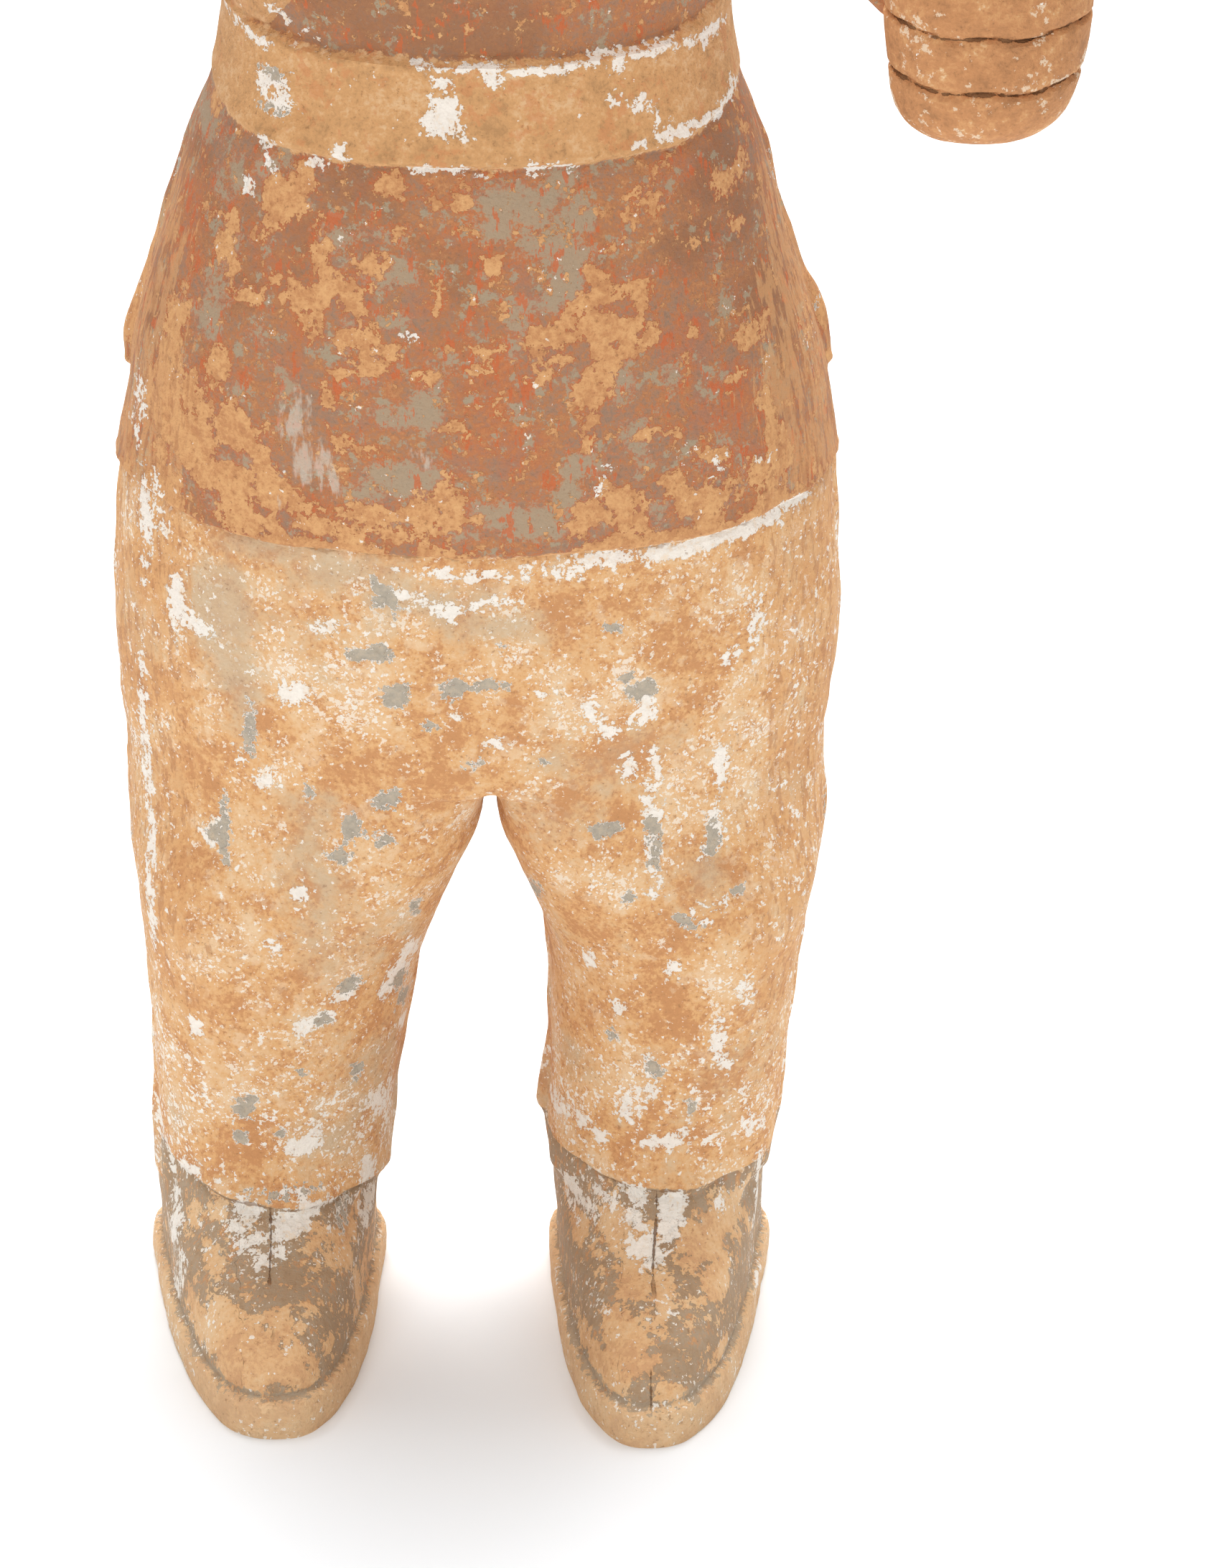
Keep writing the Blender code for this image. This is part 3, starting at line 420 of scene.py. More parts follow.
# Earth and dark pigment on the boots, as patches.
BOOT_EARTH = (
    (-65, 20, 16.6, 8.3), (-74, 22, 9.1, 3.9), (-53, 18, 9.5, 5.4), (-45, 18, 2.8, 2.2),
    (-38, 36, 3.4, 4.7), (-46, 39, 2.8, 2.9), (-75, 35, 2.8, 3.2), (-80, 39, 2.2, 2.7),
    (-45, 35, 2.4, 1.4), (-34, 19, 1.6, 4.9), (-73, 44, 2.4, 2.8), (-69, 27, 7.9, 2.4),
    (39, 44, 6.7, 4.9), (43, 41, 6.7, 4.4), (43, 35, 5.9, 3.1), (40, 25, 6.7, 6.3),
    (35, 17, 6.7, 4.7), (65, 40, 8.7, 6), (67, 32, 5.9, 4.1), (51, 31, 4, 4.1), (55, 14, 5.1, 3.1),
    (67, 16, 3.6, 2.8), (28, 37, 3.4, 2.9), (33, 36, 2.8, 1.7), (47, 21, 4.4, 3.3),
    (-57, 27, 7.9, 2.6),
)
BOOT_DARK = (
    (-53, 33, 10.7, 4.1), (-40, 21, 6.7, 8.2), (-88, 32, 2.4, 8.8), (-74, 29, 7.1, 2.4),
    (31, 31, 5.1, 4.8), (69, 18, 6.7, 8.5), (59, 19, 5.1, 5.3), (59, 37, 5.1, 3.1),
    (69, 8, 5.1, 3.6), (-33, 23, 2, 6.7), (27, 16, 2.8, 5.5),
)
# White streaks below the tunic's hem: left and right end, how far below the hem, and width.
HEM_STREAKS = (
    (30, 52, 2.6, 2.6), (46, 84, 3.2, 4.0), (62, 90, 1.5, 2.4),
    (-4, 26, 7.0, 1.6), (-20, 6, 5.0, 1.4), (12, 40, 4.0, 1.4),
)


def new_object(name, mesh):
    """An object in the scene that shows this mesh."""
    made = bpy.data.objects.new(name, mesh)
    bpy.context.scene.collection.objects.link(made)
    return made


def evaluated_mesh(obj):
    """The object's mesh with its modifiers worked in."""
    bpy.context.view_layer.update()
    graph = bpy.context.evaluated_depsgraph_get()
    return bpy.data.meshes.new_from_object(obj.evaluated_get(graph))


def smooth_table(stations, rings):
    """Rows on the smooth curve through the stations, with this many steps between two."""
    table = np.array(stations, float)
    padded = np.vstack([2 * table[0] - table[1], table, 2 * table[-1] - table[-2]])
    rows = []
    for i in range(1, len(padded) - 2):
        before, start, end, after = padded[i - 1 : i + 3]
        for t in np.arange(rings) / rings:
            rows.append(
                0.5 * (2 * start + (end - before) * t
                       + (2 * before - 5 * start + 4 * end - after) * t ** 2
                       + (3 * start - before - 3 * end + after) * t ** 3)
            )
    rows.append(table[-1])
    return np.array(rows)


def oval(left, right, front, back, power=ROUND):
    """Points round an oval whose four quarters have their own reach."""
    angles = np.linspace(0, 2 * math.pi, SIDES, endpoint=False)
    c, s = np.cos(angles), np.sin(angles)
    middle = (left + right) / 2
    half = (right - left) / 2
    x = middle + half * np.sign(c) * np.abs(c) ** (2 / power)
    y = np.where(s > 0, back, front) * np.sign(s) * np.abs(s) ** (2 / power)
    return x, y


def add_loft(form, sections):
    """Adds a closed skin over sections, each a height and the points round it."""
    rings = [
        [form.verts.new((x * PART, y * PART, z * PART)) for x, y in zip(*points)]
        for z, points in sections
    ]
    for lower, upper in zip(rings, rings[1:]):
        for i in range(SIDES):
            j = (i + 1) % SIDES
            form.faces.new((lower[i], lower[j], upper[j], upper[i]))
    form.faces.new(rings[0][::-1])
    form.faces.new(rings[-1])


def add_ball(form, centre, radii, turn=None):
    """Adds an ellipsoid. turn is a rotation about its centre."""
    place = Matrix.Translation(Vector(centre) * PART)
    if turn is not None:
        place = place @ turn.to_4x4()
    place = place @ Matrix.Diagonal((*(r * PART for r in radii), 1.0))
    ball = bmesh.new()
    bmesh.ops.create_uvsphere(ball, u_segments=BALL_SIDES, v_segments=BALL_RINGS, radius=1, matrix=place)
    mesh = bpy.data.meshes.new("ball")
    ball.to_mesh(mesh)
    ball.free()
    form.from_mesh(mesh)
    bpy.data.meshes.remove(mesh)


def add_tube(form, points, open_end=False):
    """Adds a tube through points that each carry a radius. open_end leaves its last end square."""
    curve = bpy.data.curves.new("tube", "CURVE")
    curve.dimensions = "3D"
    curve.bevel_depth = 1.0
    curve.bevel_resolution = TUBE_CORNERS
    curve.use_fill_caps = True
    rows = smooth_table(points, RINGS)
    spline = curve.splines.new("POLY")
    spline.points.add(len(rows) - 1)
    for point, (x, y, z, radius) in zip(spline.points, rows * PART):
        point.co = (x, y, z, 1)
        point.radius = radius
    guide = new_object("tube", curve)
    tube = bmesh.new()
    tube.from_mesh(evaluated_mesh(guide))
    bmesh.ops.remove_doubles(tube, verts=tube.verts, dist=1e-5)
    mesh = bpy.data.meshes.new("tube")
    tube.to_mesh(mesh)
    tube.free()
    form.from_mesh(mesh)
    bpy.data.objects.remove(guide)
    for row in points[:1] if open_end else (points[0], points[-1]):
        add_ball(form, row[:3], (row[3] * END_SHARE,) * 3)


def add_trunk(form):
    """Adds the body from the crotch to the neck."""
    rows = smooth_table(TRUNK, RINGS)
    add_loft(form, [(z, oval(left, right, front, back)) for z, left, right, front, back in rows])


def leg_section(z, inner, outer, front, back):
    """A leg's section, which grows squarer towards the crotch and turns into half the trunk's."""
    power = LEG_POWER + LEG_SQUARING * smoothstep(z, 110, 160)
    x, y = oval(min(inner, outer), max(inner, outer), front, back, power)
    _, left, right, trunk_front, trunk_back = TRUNK[0]
    across = np.clip(np.abs(2 * x - left - right) / (right - left), 0, 1)
    limit = np.where(y < 0, trunk_front, trunk_back) * (1 - across ** ROUND) ** (1 / ROUND)
    inside = np.sign(y) * np.minimum(np.abs(y), limit)
    return x, y + (inside - y) * smoothstep(z, 118, 168)


def add_legs(form):
    """Adds both trouser legs down to their front hems."""
    rows = smooth_table(LEGS, RINGS)
    for inner, outer in ((1, 2), (3, 4)):
        add_loft(form, [
            (row[0], leg_section(row[0], row[inner], row[outer], row[5], row[6])) for row in rows
        ])


def add_back_hems(form):
    """Adds the back of each trouser leg, which hangs lower than the front and stands out from the boot."""
    for foot, inner, outer, top, top_inner, top_outer in BACK_HEMS:
        sections = []
        for t in np.linspace(0, 1, RINGS + 1):
            edges = sorted((inner + (top_inner - inner) * t, outer + (top_outer - outer) * t))
            x, y = oval(*edges, BACK_HEM_FRONT, BACK_HEM_REACH - BACK_HEM_MIDDLE, BACK_HEM_POWER)
            sections.append((foot + (top - foot) * t, (x, y + BACK_HEM_MIDDLE)))
        add_loft(form, sections)


def add_boots(form):
    """Adds each boot as a sole and an upper that stands on it."""
    sole = size("sole_thickness")
    ledge = size("sole_ledge")
    inset = size("boot_inset")
    for middle, toe, turn, wide in BOOT_AXES:
        def outline(half, front, back, behind):
            """Points round this boot, turned to its toe."""
            x, y = oval(-half * wide, half * wide, front + behind, back - behind, BOOT_POWER)
            x *= 1 - BOOT_TAPER * np.clip(-y / (front + behind), 0, 1)
            y = y + behind
            return middle + x + turn * (HEEL_MIDDLE - y), y

        sole_outline = outline(SOLE_HALF_WIDTH + ledge, toe, HEEL_REACH + ledge, HEEL_MIDDLE)
        add_loft(form, [(-CUT_DEPTH, sole_outline), (sole, sole_outline)])
        longer = toe / BOOT_AXES[0][1]
        add_loft(form, [
            (z, outline(half - inset / 2, front * longer - ledge, back - ledge, behind))
            for z, half, front, back, behind in smooth_table(BOOT, RINGS)
        ])


def fist_frame(place, turn, lean):
    """Matrix from the fist's own space (fingers at -Y, thumb at +Z) to the figure's."""
    return (
        Matrix.Translation(Vector(place))
        @ Matrix.Rotation(math.radians(turn), 4, "Z")
        @ Matrix.Rotation(math.radians(-lean), 4, "X")
    )


def fist_frames():
    """The frames of the left and the right fist."""
    return (
        fist_frame(LEFT_FIST, LEFT_TURN, LEFT_LEAN),
        fist_frame(RIGHT_FIST, RIGHT_TURN, RIGHT_LEAN),
    )


def add_fist(form, frame, side):
    """Adds a closed hand: a rounded block of four fingers with the thumb laid over it."""
    start = len(form.verts)
    sections = []
    for z, half, front, back in smooth_table(FIST, RINGS):
        x, y = oval(-half, half, front, back)
        sections.append((z, (x + FIST_FLARE * z * np.clip(side * x / half, 0, 1) * side, y)))
    add_loft(form, sections)
    form.verts.ensure_lookup_table()
    place = Matrix.Translation(frame.translation * PART) @ frame.to_3x3().to_4x4()
    bmesh.ops.transform(form, matrix=place, verts=form.verts[start:])
    top = FIST_HEIGHT / 2
    add_tube(form, [(*(frame @ Vector((side * x, y, top + z))), radius) for x, y, z, radius in THUMB])


def add_arms(form):
    """Adds each arm as a sleeve, a wrist and a fist."""
    for path, frame, side in zip((LEFT_ARM, RIGHT_ARM), fist_frames(), (1, -1)):
        add_tube(form, path, open_end=True)
        wrist = frame @ Vector((0, WRIST_BACK, 0))
        add_tube(form, [(*path[-1][:3], WRIST_RADII[0]), (*wrist, WRIST_RADII[1])])
        add_fist(form, frame, side)


def add_head(form):
    """Adds the head: skull, face, chin, cheeks, lids, ears, nose and lips."""
    x, y, z = HEAD
    add_ball(form, HEAD, HEAD_RADII)
    add_ball(form, (x, y + 6, z + 4), (37, 40, 41))
    add_ball(form, (x, y - 9, EYE_Z - 19), (31, 31.5, 33))
    add_ball(form, (x, y - 29, CHIN_Z + 9), (11, 9.5, 9))
    for side in (-1, 1):
        add_ball(form, (side * 18, y - 22, EYE_Z - 14), (12, 12, 12))
        add_ball(form, (side * EYE_X, y - 31.5, EYE_Z), (10.5, 8.6, 6.0))
        ear = Matrix.Rotation(math.radians(side * 14), 3, "Z")
        add_ball(form, (side * 37.5, y + 4, EYE_Z - 6), (4.2, 8.0, 14.0), ear)
    add_tube(form, [(0, y - 37, EYE_Z + 6, 4.0), (0, y - 41, EYE_Z - 6, 4.8), (0, y - 46, NOSE_Z, 6.2)])
    for side in (-1, 1):
        add_ball(form, (side * 6.2, y - 41, NOSE_Z - 0.5), (4.6, 6.0, 4.2))
    add_ball(form, (0, y - 36.5, MOUTH_Z + 2.2), (10.5, 5.6, 3.0))
    add_ball(form, (0, y - 36.5, MOUTH_Z - 2.8), (8.5, 5.6, 3.2))


def add_knot(form):
    """Adds the hair drawn up into a knot, with a band round its foot."""
    top = size("height")
    add_ball(form, (0, 10, top - 14.5), (18, 19, 15))
    add_ball(form, (0, 9, top - 27), (21, 22, 8))


def smoothstep(value, low, high):
    """0 up to low, 1 from high, and a smooth rise between."""
    t = np.clip((value - low) / (high - low), 0, 1)
    return t * t * (3 - 2 * t)


def bump(distance, width):
    """1 on a line, falling to 0 at half this width from it."""
    return np.clip(1 - (2 * distance / width) ** 2, 0, 1) ** 2


def belt_foot(y):
    """Height of the belt's lower edge, which is higher at the sides and back."""
    return BELT_FOOT + BELT_RISE * (1 - smoothstep(-y, 0, 45))


def skirt_hem(y):
    """Height of the tunic's hem, which is highest at the side seams."""
    front = SKIRT_FRONT + 4 * (1 - smoothstep(-y, 20, 60))
    back = SKIRT_SIDE + (SKIRT_BACK - SKIRT_SIDE) * smoothstep(y, 0, 50)
    return np.where(y < 0, front, back)


def trouser_hem(x):
    """Height of the front hem, which is a little higher on the figure's left leg."""
    return HEM_FRONT + np.where(x < 0, -(x + 58) * 0.10, 5.0 - (x - 50) * 0.07)


def lapel_line(x):
    """Height of the crossed collar's edge over the chest."""
    return LAPEL_TOP[1] - LAPEL_SLOPE * (LAPEL_TOP[0] - x)


def size(name):
    """One of the sizes that a user may change, in parts."""
    return getattr(bpy.context.scene.warrior_sizes, name) / PART


def lattice(x, y, z, seed):
    """A repeatable number from -1 to 1 for each corner of a lattice."""
    mixed = (x * 73856093 ^ y * 19349663 ^ z * 83492791 ^ seed * 40503001) & 0xFFFFFFFF
    mixed = ((mixed ^ mixed >> 13) * 1274126177) & 0xFFFFFFFF
    return ((mixed ^ mixed >> 16) & 0xFFFF) / 32767.5 - 1


def hump(points, across, seed, stretch=(1, 1, 1)):
    """Smooth unevenness from -1 to 1 whose humps are about this many parts across."""
    cell = points / np.array(stretch, float) / across + 500.0
    low = np.floor(cell).astype(np.int64)
    t = cell - low
    t = t * t * (3 - 2 * t)
    total = np.zeros(len(points))
    for corner in np.ndindex(2, 2, 2):
        share = np.prod(np.where(np.array(corner) == 1, t, 1 - t), axis=1)
        total += share * lattice(*(low + np.array(corner)).T, seed)
    return total


def facing_front(y):
    """1 on the front half of the figure and 0 on the back half."""
    return smoothstep(-y, -8, 8)


def patches(points, table):
    """How many parts each point on the front lies inside the nearest patch; less than 0 is outside."""
    x, y, z = points.T
    field = np.full(len(x), OUTSIDE)
    for middle, height, half, tall, *tilt in table:
        turn = math.radians(sum(tilt))
        across = (x - middle) * math.cos(turn) + (z - height) * math.sin(turn)
        along = (z - height) * math.cos(turn) - (x - middle) * math.sin(turn)
        inside = (1 - np.hypot(across / half, along / tall)) * min(half, tall)
        field = np.maximum(field, inside)
    return np.where(facing_front(y) > 0.5, field, OUTSIDE)


def from_stroke(x, z, stroke):
    """Distance from a brush stroke, in parts, as seen from the front."""
    left, low, right, high = stroke[:4]
    run, rise = right - left, high - low
    t = np.clip(((x - left) * run + (z - low) * rise) / (run * run + rise * rise), 0, 1)
    return np.hypot(x - left - t * run, z - low - t * rise)


def strokes(points, table):
    """How many parts each point on the front lies inside the nearest brush stroke."""
    x, y, z = points.T
    field = np.full(len(x), OUTSIDE)
    for stroke in table:
        field = np.maximum(field, stroke[4] / 2 - from_stroke(x, z, stroke))
    return np.where(facing_front(y) > 0.5, field, OUTSIDE)


def belt_at(points):
    """Height over the belt's lower edge, which wanders a little because it was cut by hand."""
    return points[:, 2] - belt_foot(points[:, 1]) + 0.7 * hump(points, 13, 3)


def hem_at(points):
    """Height over the tunic's hem."""
    return points[:, 2] - skirt_hem(points[:, 1]) + 0.9 * hump(points, 12, 5) + 0.4 * hump(points, 4, 6)


def cuff_at(points):
    """Height over the front hems of the trousers."""
    return points[:, 2] - trouser_hem(points[:, 0]) + 0.6 * hump(points, 9, 7)


def flank_at(x, z):
    """1 on the narrow sides of the body, where the clay was scraped up and down."""
    return smoothstep(np.abs(x), 62, 84) * smoothstep(z, 60, 120) * (1 - smoothstep(z, 372, 392))


def dress_relief(points):
    """Belt and hem, with the pressed edges that a mould leaves, in parts."""
    x, y, z = points.T
    trunk = (1 - 0.75 * smoothstep(np.abs(x), 50, 68)) * (1 - smoothstep(np.abs(x), 80, 84))
    over = belt_at(points)
    width = size("belt_width")
    belt = smoothstep(over, -0.7, 0.7) * (1 - smoothstep(over, width - 0.7, width + 0.7))
    rims = bump(over - 1.8, 3.6) + bump(over - width + 1.8, 3.6)
    beside = bump(over + 1.2, 2.6) + bump(over - width - 1.2, 2.6)
    out = (size("belt_proud") * belt + 0.35 * rims - 0.35 * beside) * trunk
    over = hem_at(points)
    cloth = smoothstep(over, -0.8, 0.8) * (1 - smoothstep(z, 310, belt_foot(y)))
    wide = 1 - smoothstep(np.abs(x), 101, 103)
    out += (size("hem_proud") * cloth + 0.3 * bump(over - 1.6, 3.4)) * wide
    out -= 0.45 * bump(over + 1.3, 2.8) * wide
    return out


def seam_relief(x, y, z):
    """Ragged ridge along each side where the front and back moulds met, in parts."""
    side = np.where(z < 165, np.abs(np.abs(x) - 55), np.abs(x))
    edge = smoothstep(side, 22, 30)
    ragged = 0.75 + 0.25 * np.sin(z * 0.21) * np.sin(z * 0.083 + np.sign(x))
    tall = smoothstep(z, 40, 60) * (1 - smoothstep(z, 350, 372))
    corner = bump(z - 300, 34) * 1.2
    return size("seam_proud") * (ragged + corner) * bump(y - 4, 8) * edge * tall


def collar_relief(x, y, z):
    """A crossed collar on the front of the chest, each edge with a narrow hem, in parts."""
    front = smoothstep(-y, 8, 16) * smoothstep(z, 398, 402) * (1 - smoothstep(z, 548, 552))
    front *= 1 - smoothstep(np.abs(x), 62, 70)
    half = LAPEL_WIDTH / 2
    longer = math.hypot(1, LAPEL_SLOPE)
    outer = np.abs(z - lapel_line(x)) / longer
    under = np.abs(z - lapel_line(-x)) / longer
    over = 1 - smoothstep(outer, half - 0.7, half + 0.7)
    lower = (1 - smoothstep(under, half - 0.7, half + 0.7)) * smoothstep(z - lapel_line(x), 0, half)
    hem = bump(outer - half + 2.0, 1.6) * 0.45
    return (LAPEL_PROUD * np.maximum(over, 0.8 * lower) - hem) * front


def in_hair(points):
    """How far inside the hair each point lies, in parts."""
    x, y, z = points.T
    line = HAIRLINE_Z - 18 * smoothstep(y, -24, -6) - 30 * smoothstep(y, 8, 22)
    over_ear = smoothstep(np.abs(x), 38.5, 39.5) * (1 - smoothstep(z, 614, 618))
    return z - line - 60 * over_ear


def hair_relief(points):
    """The hair stands out from the skull, combed up in fine grooves towards the knot, in parts."""
    x, y, z = points.T
    hair = smoothstep(in_hair(points), -0.9, 0.9) * (1 - smoothstep(z, 646, 656))
    turn = np.arctan2(x, -(y - 6)) + 0.05 * np.sin(z * 0.25)
    comb = np.abs(np.sin(turn * 14))
    strand = np.abs(np.sin(turn * 42 + 0.8 * np.sin(z * 0.4)))
    knot = smoothstep(z, 652, 658) * (1 - smoothstep(z, 676, 680))
    wound = np.abs(np.sin((z + 0.35 * x) * math.pi / 7.5))
    locks = hair * (HAIR_PROUD - 1.1 * (1 - comb) ** 2 - 0.35 * (1 - strand) ** 2)
    band = bump(z - 656.5, 6) * 0.9
    return locks - 0.8 * (1 - wound) ** 2 * knot + band


def face_heights(x, z):
    """Height over the lids' slit, the brows and the mouth's parting, in parts, and distance from an eye."""
    across = np.abs(np.abs(x) - EYE_X)
    over_lid = z - (EYE_Z - 0.6 + 0.9 * np.cos(across / 10.5 * math.pi / 2))
    over_brow = z - (EYE_Z + 11 + 2.0 * np.cos(across / 13 * math.pi / 2))
    over_mouth = z - (MOUTH_Z - 0.4 + (x / 12) ** 2 * 0.8)
    return over_lid, over_brow, over_mouth, across


def face_lines(x, y, z):
    """Height over the nearest drawn line of the face, in parts, and 1 along that line."""
    over_lid, over_brow, over_mouth, across = face_heights(x, z)
    line = np.where(np.abs(over_lid) < np.abs(over_brow), over_lid, over_brow)
    reach = np.where(np.abs(over_lid) < np.abs(over_brow), 10 - across, 12.5 - across)
    lower = np.abs(over_mouth) < np.abs(line)
    line = np.where(lower, over_mouth, line)
    reach = np.where(lower, 11.5 - np.abs(x), reach)
    face = smoothstep(-y, 22, 26) * smoothstep(z, CHIN_Z, CHIN_Z + 4)
    return line, face * smoothstep(reach, 0, 2) * (1 - smoothstep(np.abs(line), 1.5, 2.5))


def face_relief(x, y, z):
    """Lids that meet in a slit, a brow, nostrils and a closed mouth, in parts."""
    front = smoothstep(-y, 26, 30) * (z > CHIN_Z)
    over_lid, over_brow, over_mouth, across = face_heights(x, z)
    slit = bump(over_lid, 2.8) * (1 - smoothstep(across, 8.5, 10))
    crease = bump(over_lid - 4.2, 2.6) * (1 - smoothstep(across, 9, 11))
    brow = bump(over_brow, 7) * (1 - smoothstep(across, 11, 14))
    parting = bump(over_mouth, 2.8) * (1 - smoothstep(np.abs(x), 9, 12))
    furrow = bump(x, 4.5) * smoothstep(z, MOUTH_Z + 4, MOUTH_Z + 6)
    furrow *= 1 - smoothstep(z, NOSE_Z - 6, NOSE_Z - 4)
    nostril = np.maximum(0, 1 - np.hypot((np.abs(x) - 3.6) / 1.8, (z - NOSE_Z + 5.2) / 1.6))
    return front * (brow - 1.2 * slit - 0.5 * crease - 1.3 * parting - 0.5 * furrow - 1.2 * nostril)


def ear_relief(x, y, z):
    """The hollow inside each ear, in parts."""
    hollow = np.hypot((y - HEAD[1] - 3) / 4.6, (z - EYE_Z + 5) / 9.5)
    return -2.0 * (1 - smoothstep(hollow, 0.5, 1.0)) * smoothstep(np.abs(x), 37.5, 39.5) * (z > 560)


def fold_relief(x, y, z):
    """Soft folds across the bend of each sleeve, in parts."""
    sleeve = smoothstep(np.abs(x), 84, 92) * smoothstep(z, 425, 440) * (1 - smoothstep(z, 492, 506))
    sleeve *= smoothstep(y, -62, -44)
    return SLEEVE_FOLD * np.sin((z - 0.7 * y + 0.25 * np.abs(x)) * 2 * math.pi / 19) * sleeve


def from_fist(points, fist):
    """The points' places in a fist's own space: across, back and up."""
    back = fist.inverted()
    return (points @ np.array(back.to_3x3()).T + np.array(back.translation)).T


def finger_lines(points):
    """Distance from the nearest cut between two fingers, in parts, and 1 where there are fingers."""
    line = np.full(len(points), OFF_LINE)
    fingers = np.zeros(len(points))
    for fist in fist_frames():
        x, y, z = from_fist(points, fist)
        near = (np.abs(x) < FIST_WIDTH * 0.7) & (np.abs(y + 2) < FIST_DEPTH * 0.6)
        near &= np.abs(z) < FIST_HEIGHT * 0.75
        height = z - LOWEST_CUT + FINGER - 0.9 * (x / 20) ** 2 + 0.5 * np.sin(x * 0.3)
        cuts = smoothstep(height, FINGER * 0.5, FINGER * 0.6)
        cuts = cuts * (1 - smoothstep(height, FINGER * 3.4, FINGER * 3.5))
        line = np.where(near, np.sin(height / FINGER * math.pi) * FINGER / math.pi, line)
        fingers = np.where(near, (1 - smoothstep(y, 6, 14)) * cuts, fingers)
    return line, fingers


def boot_lines(points):
    """Distance from the seam up the nearer boot's toe, in parts, and 1 where the seam runs."""
    x, y, z = points.T
    line = np.full(len(x), OFF_LINE)
    for middle, _, turn, _ in BOOT_AXES:
        from_seam = x - middle - turn * (HEEL_MIDDLE - y) + 0.35 * np.sin(y * 0.22 + middle)
        line = np.where(np.abs(from_seam) < np.abs(line), from_seam, line)
    vamp = smoothstep(-y, 24, 32) * smoothstep(-cuff_at(points), 0.5, 2) * smoothstep(z, 10, 12)
    vamp *= np.maximum(smoothstep(z, 33, 36), smoothstep(hump(points, 6, 31), -0.1, 0.2))
    return line, vamp


def boot_relief(points):
    """Seam, the step in under the hems, and the line where the upper meets the sole, in parts."""
    y, z = points[:, 1], points[:, 2]
    line, vamp = boot_lines(points)
    over = cuff_at(points)
    boot = (1 - smoothstep(over, -0.7, 0.7)) * smoothstep(z, 30, 40) * smoothstep(-y, 2, 10)
    front = smoothstep(-y, 4, 12)
    slit = bump(over + 1.0, 2.4) * front
    foot = size("sole_thickness")
    welt = bump(z - foot - 1.0 - 0.4 * hump(points, 8, 9), 2.6) * (z < 20)
    sole = (1 - smoothstep(z, foot - 0.8, foot + 0.2)) * smoothstep(z, 1, 3)
    creases = hump(points, 7, 11, (1, 1, 2.5)) * smoothstep(-over, 0, 6)
    out = -0.6 * bump(line, size("groove_width") * 0.6) * vamp - size("boot_inset") * boot
    return out - 0.6 * slit - 0.9 * welt + 0.5 * sole + 0.18 * creases


def hand_relief(points):
    """Cuts between the fingers, in parts."""
    line, fingers = finger_lines(points)
    return -size("groove_depth") * bump(line, size("groove_width") * 0.8) * fingers


def pinch_relief(points):
    """A pinched fold and a dent below the belt, in parts."""
    x, y, z = points.T
    front = facing_front(y)
    ridge = sum(bump(from_stroke(x, z, stroke), 5) for stroke in PINCHED_FOLD)
    dent = bump(np.hypot(x - DENT[0], z - DENT[1]), 9)
    crotch = bump(x - CROTCH[0], 11) * bump(z - CROTCH[1], 24)
    return (0.9 * np.minimum(ridge, 1) - 1.3 * dent - 2.8 * crotch) * front


def clay_relief(points):
    """The unevenness of clay pressed in a mould by hand, scraped at the sides and worn, in parts."""
    x, y, z = points.T
    rough = 0.5 * hump(points, 30, 21) + 0.22 * hump(points, 9, 22) + 0.09 * hump(points, 3.6, 23)
    scraped = hump(points, 5, 24, (1, 1, 9)) + 0.6 * hump(points, 2.6, 25, (1, 1, 7))
    face = smoothstep(z, 552, 560) * (1 - smoothstep(z, 640, 650))
    chipped = smoothstep(patches(points, CLAY_CHIPS) + 0.8 * hump(points, 3, 26), -0.6, 0.8)
    return rough * (1 - 0.75 * face) + 0.34 * scraped * flank_at(x, z) - 0.35 * chipped


def mesh_points(mesh, kind="co"):
    """The place of each of the mesh's points in metres, or with "normal" the way that it faces."""
    found = np.empty(len(mesh.vertices) * 3, np.float32)
    mesh.vertices.foreach_get(kind, found)
    return found.reshape(-1, 3).astype(float)


def move_points(mesh, points):
    """Puts the mesh's points at these places, in metres."""
    mesh.vertices.foreach_set("co", points.astype(np.float32).ravel())
    mesh.update()


def carve(mesh):
    """Moves each point along its normal by the relief at its place."""
    points = mesh_points(mesh) / PART
    x, y, z = points.T
    out = dress_relief(points) + seam_relief(x, y, z) + collar_relief(x, y, z) + hair_relief(points)
    out += face_relief(x, y, z) + ear_relief(x, y, z) + fold_relief(x, y, z) + boot_relief(points)
    out += hand_relief(points) + pinch_relief(points) + clay_relief(points)
    move_points(mesh, (points + mesh_points(mesh, "normal") * out[:, None]) * PART)


def work_in(obj, name, kind, **settings):
    """Adds a modifier and applies it."""
    made = obj.modifiers.new(name, kind)
    for setting, value in settings.items():
        setattr(made, setting, value)
    bpy.ops.object.select_all(action="DESELECT")
    obj.select_set(True)
    bpy.context.view_layer.objects.active = obj
    bpy.ops.object.modifier_apply(modifier=made.name)


def one_skin(name, form):
    """One closed skin over all the forms, smoothed where they meet."""
    mesh = bpy.data.meshes.new(name)
    form.to_mesh(mesh)
    form.free()
    obj = new_object(name, mesh)
    work_in(obj, "skin", "REMESH", mode="VOXEL", voxel_size=VOXEL * PART)
    work_in(obj, "soft", "SMOOTH", factor=0.5, iterations=SMOOTH_ROUNDS)
    return obj


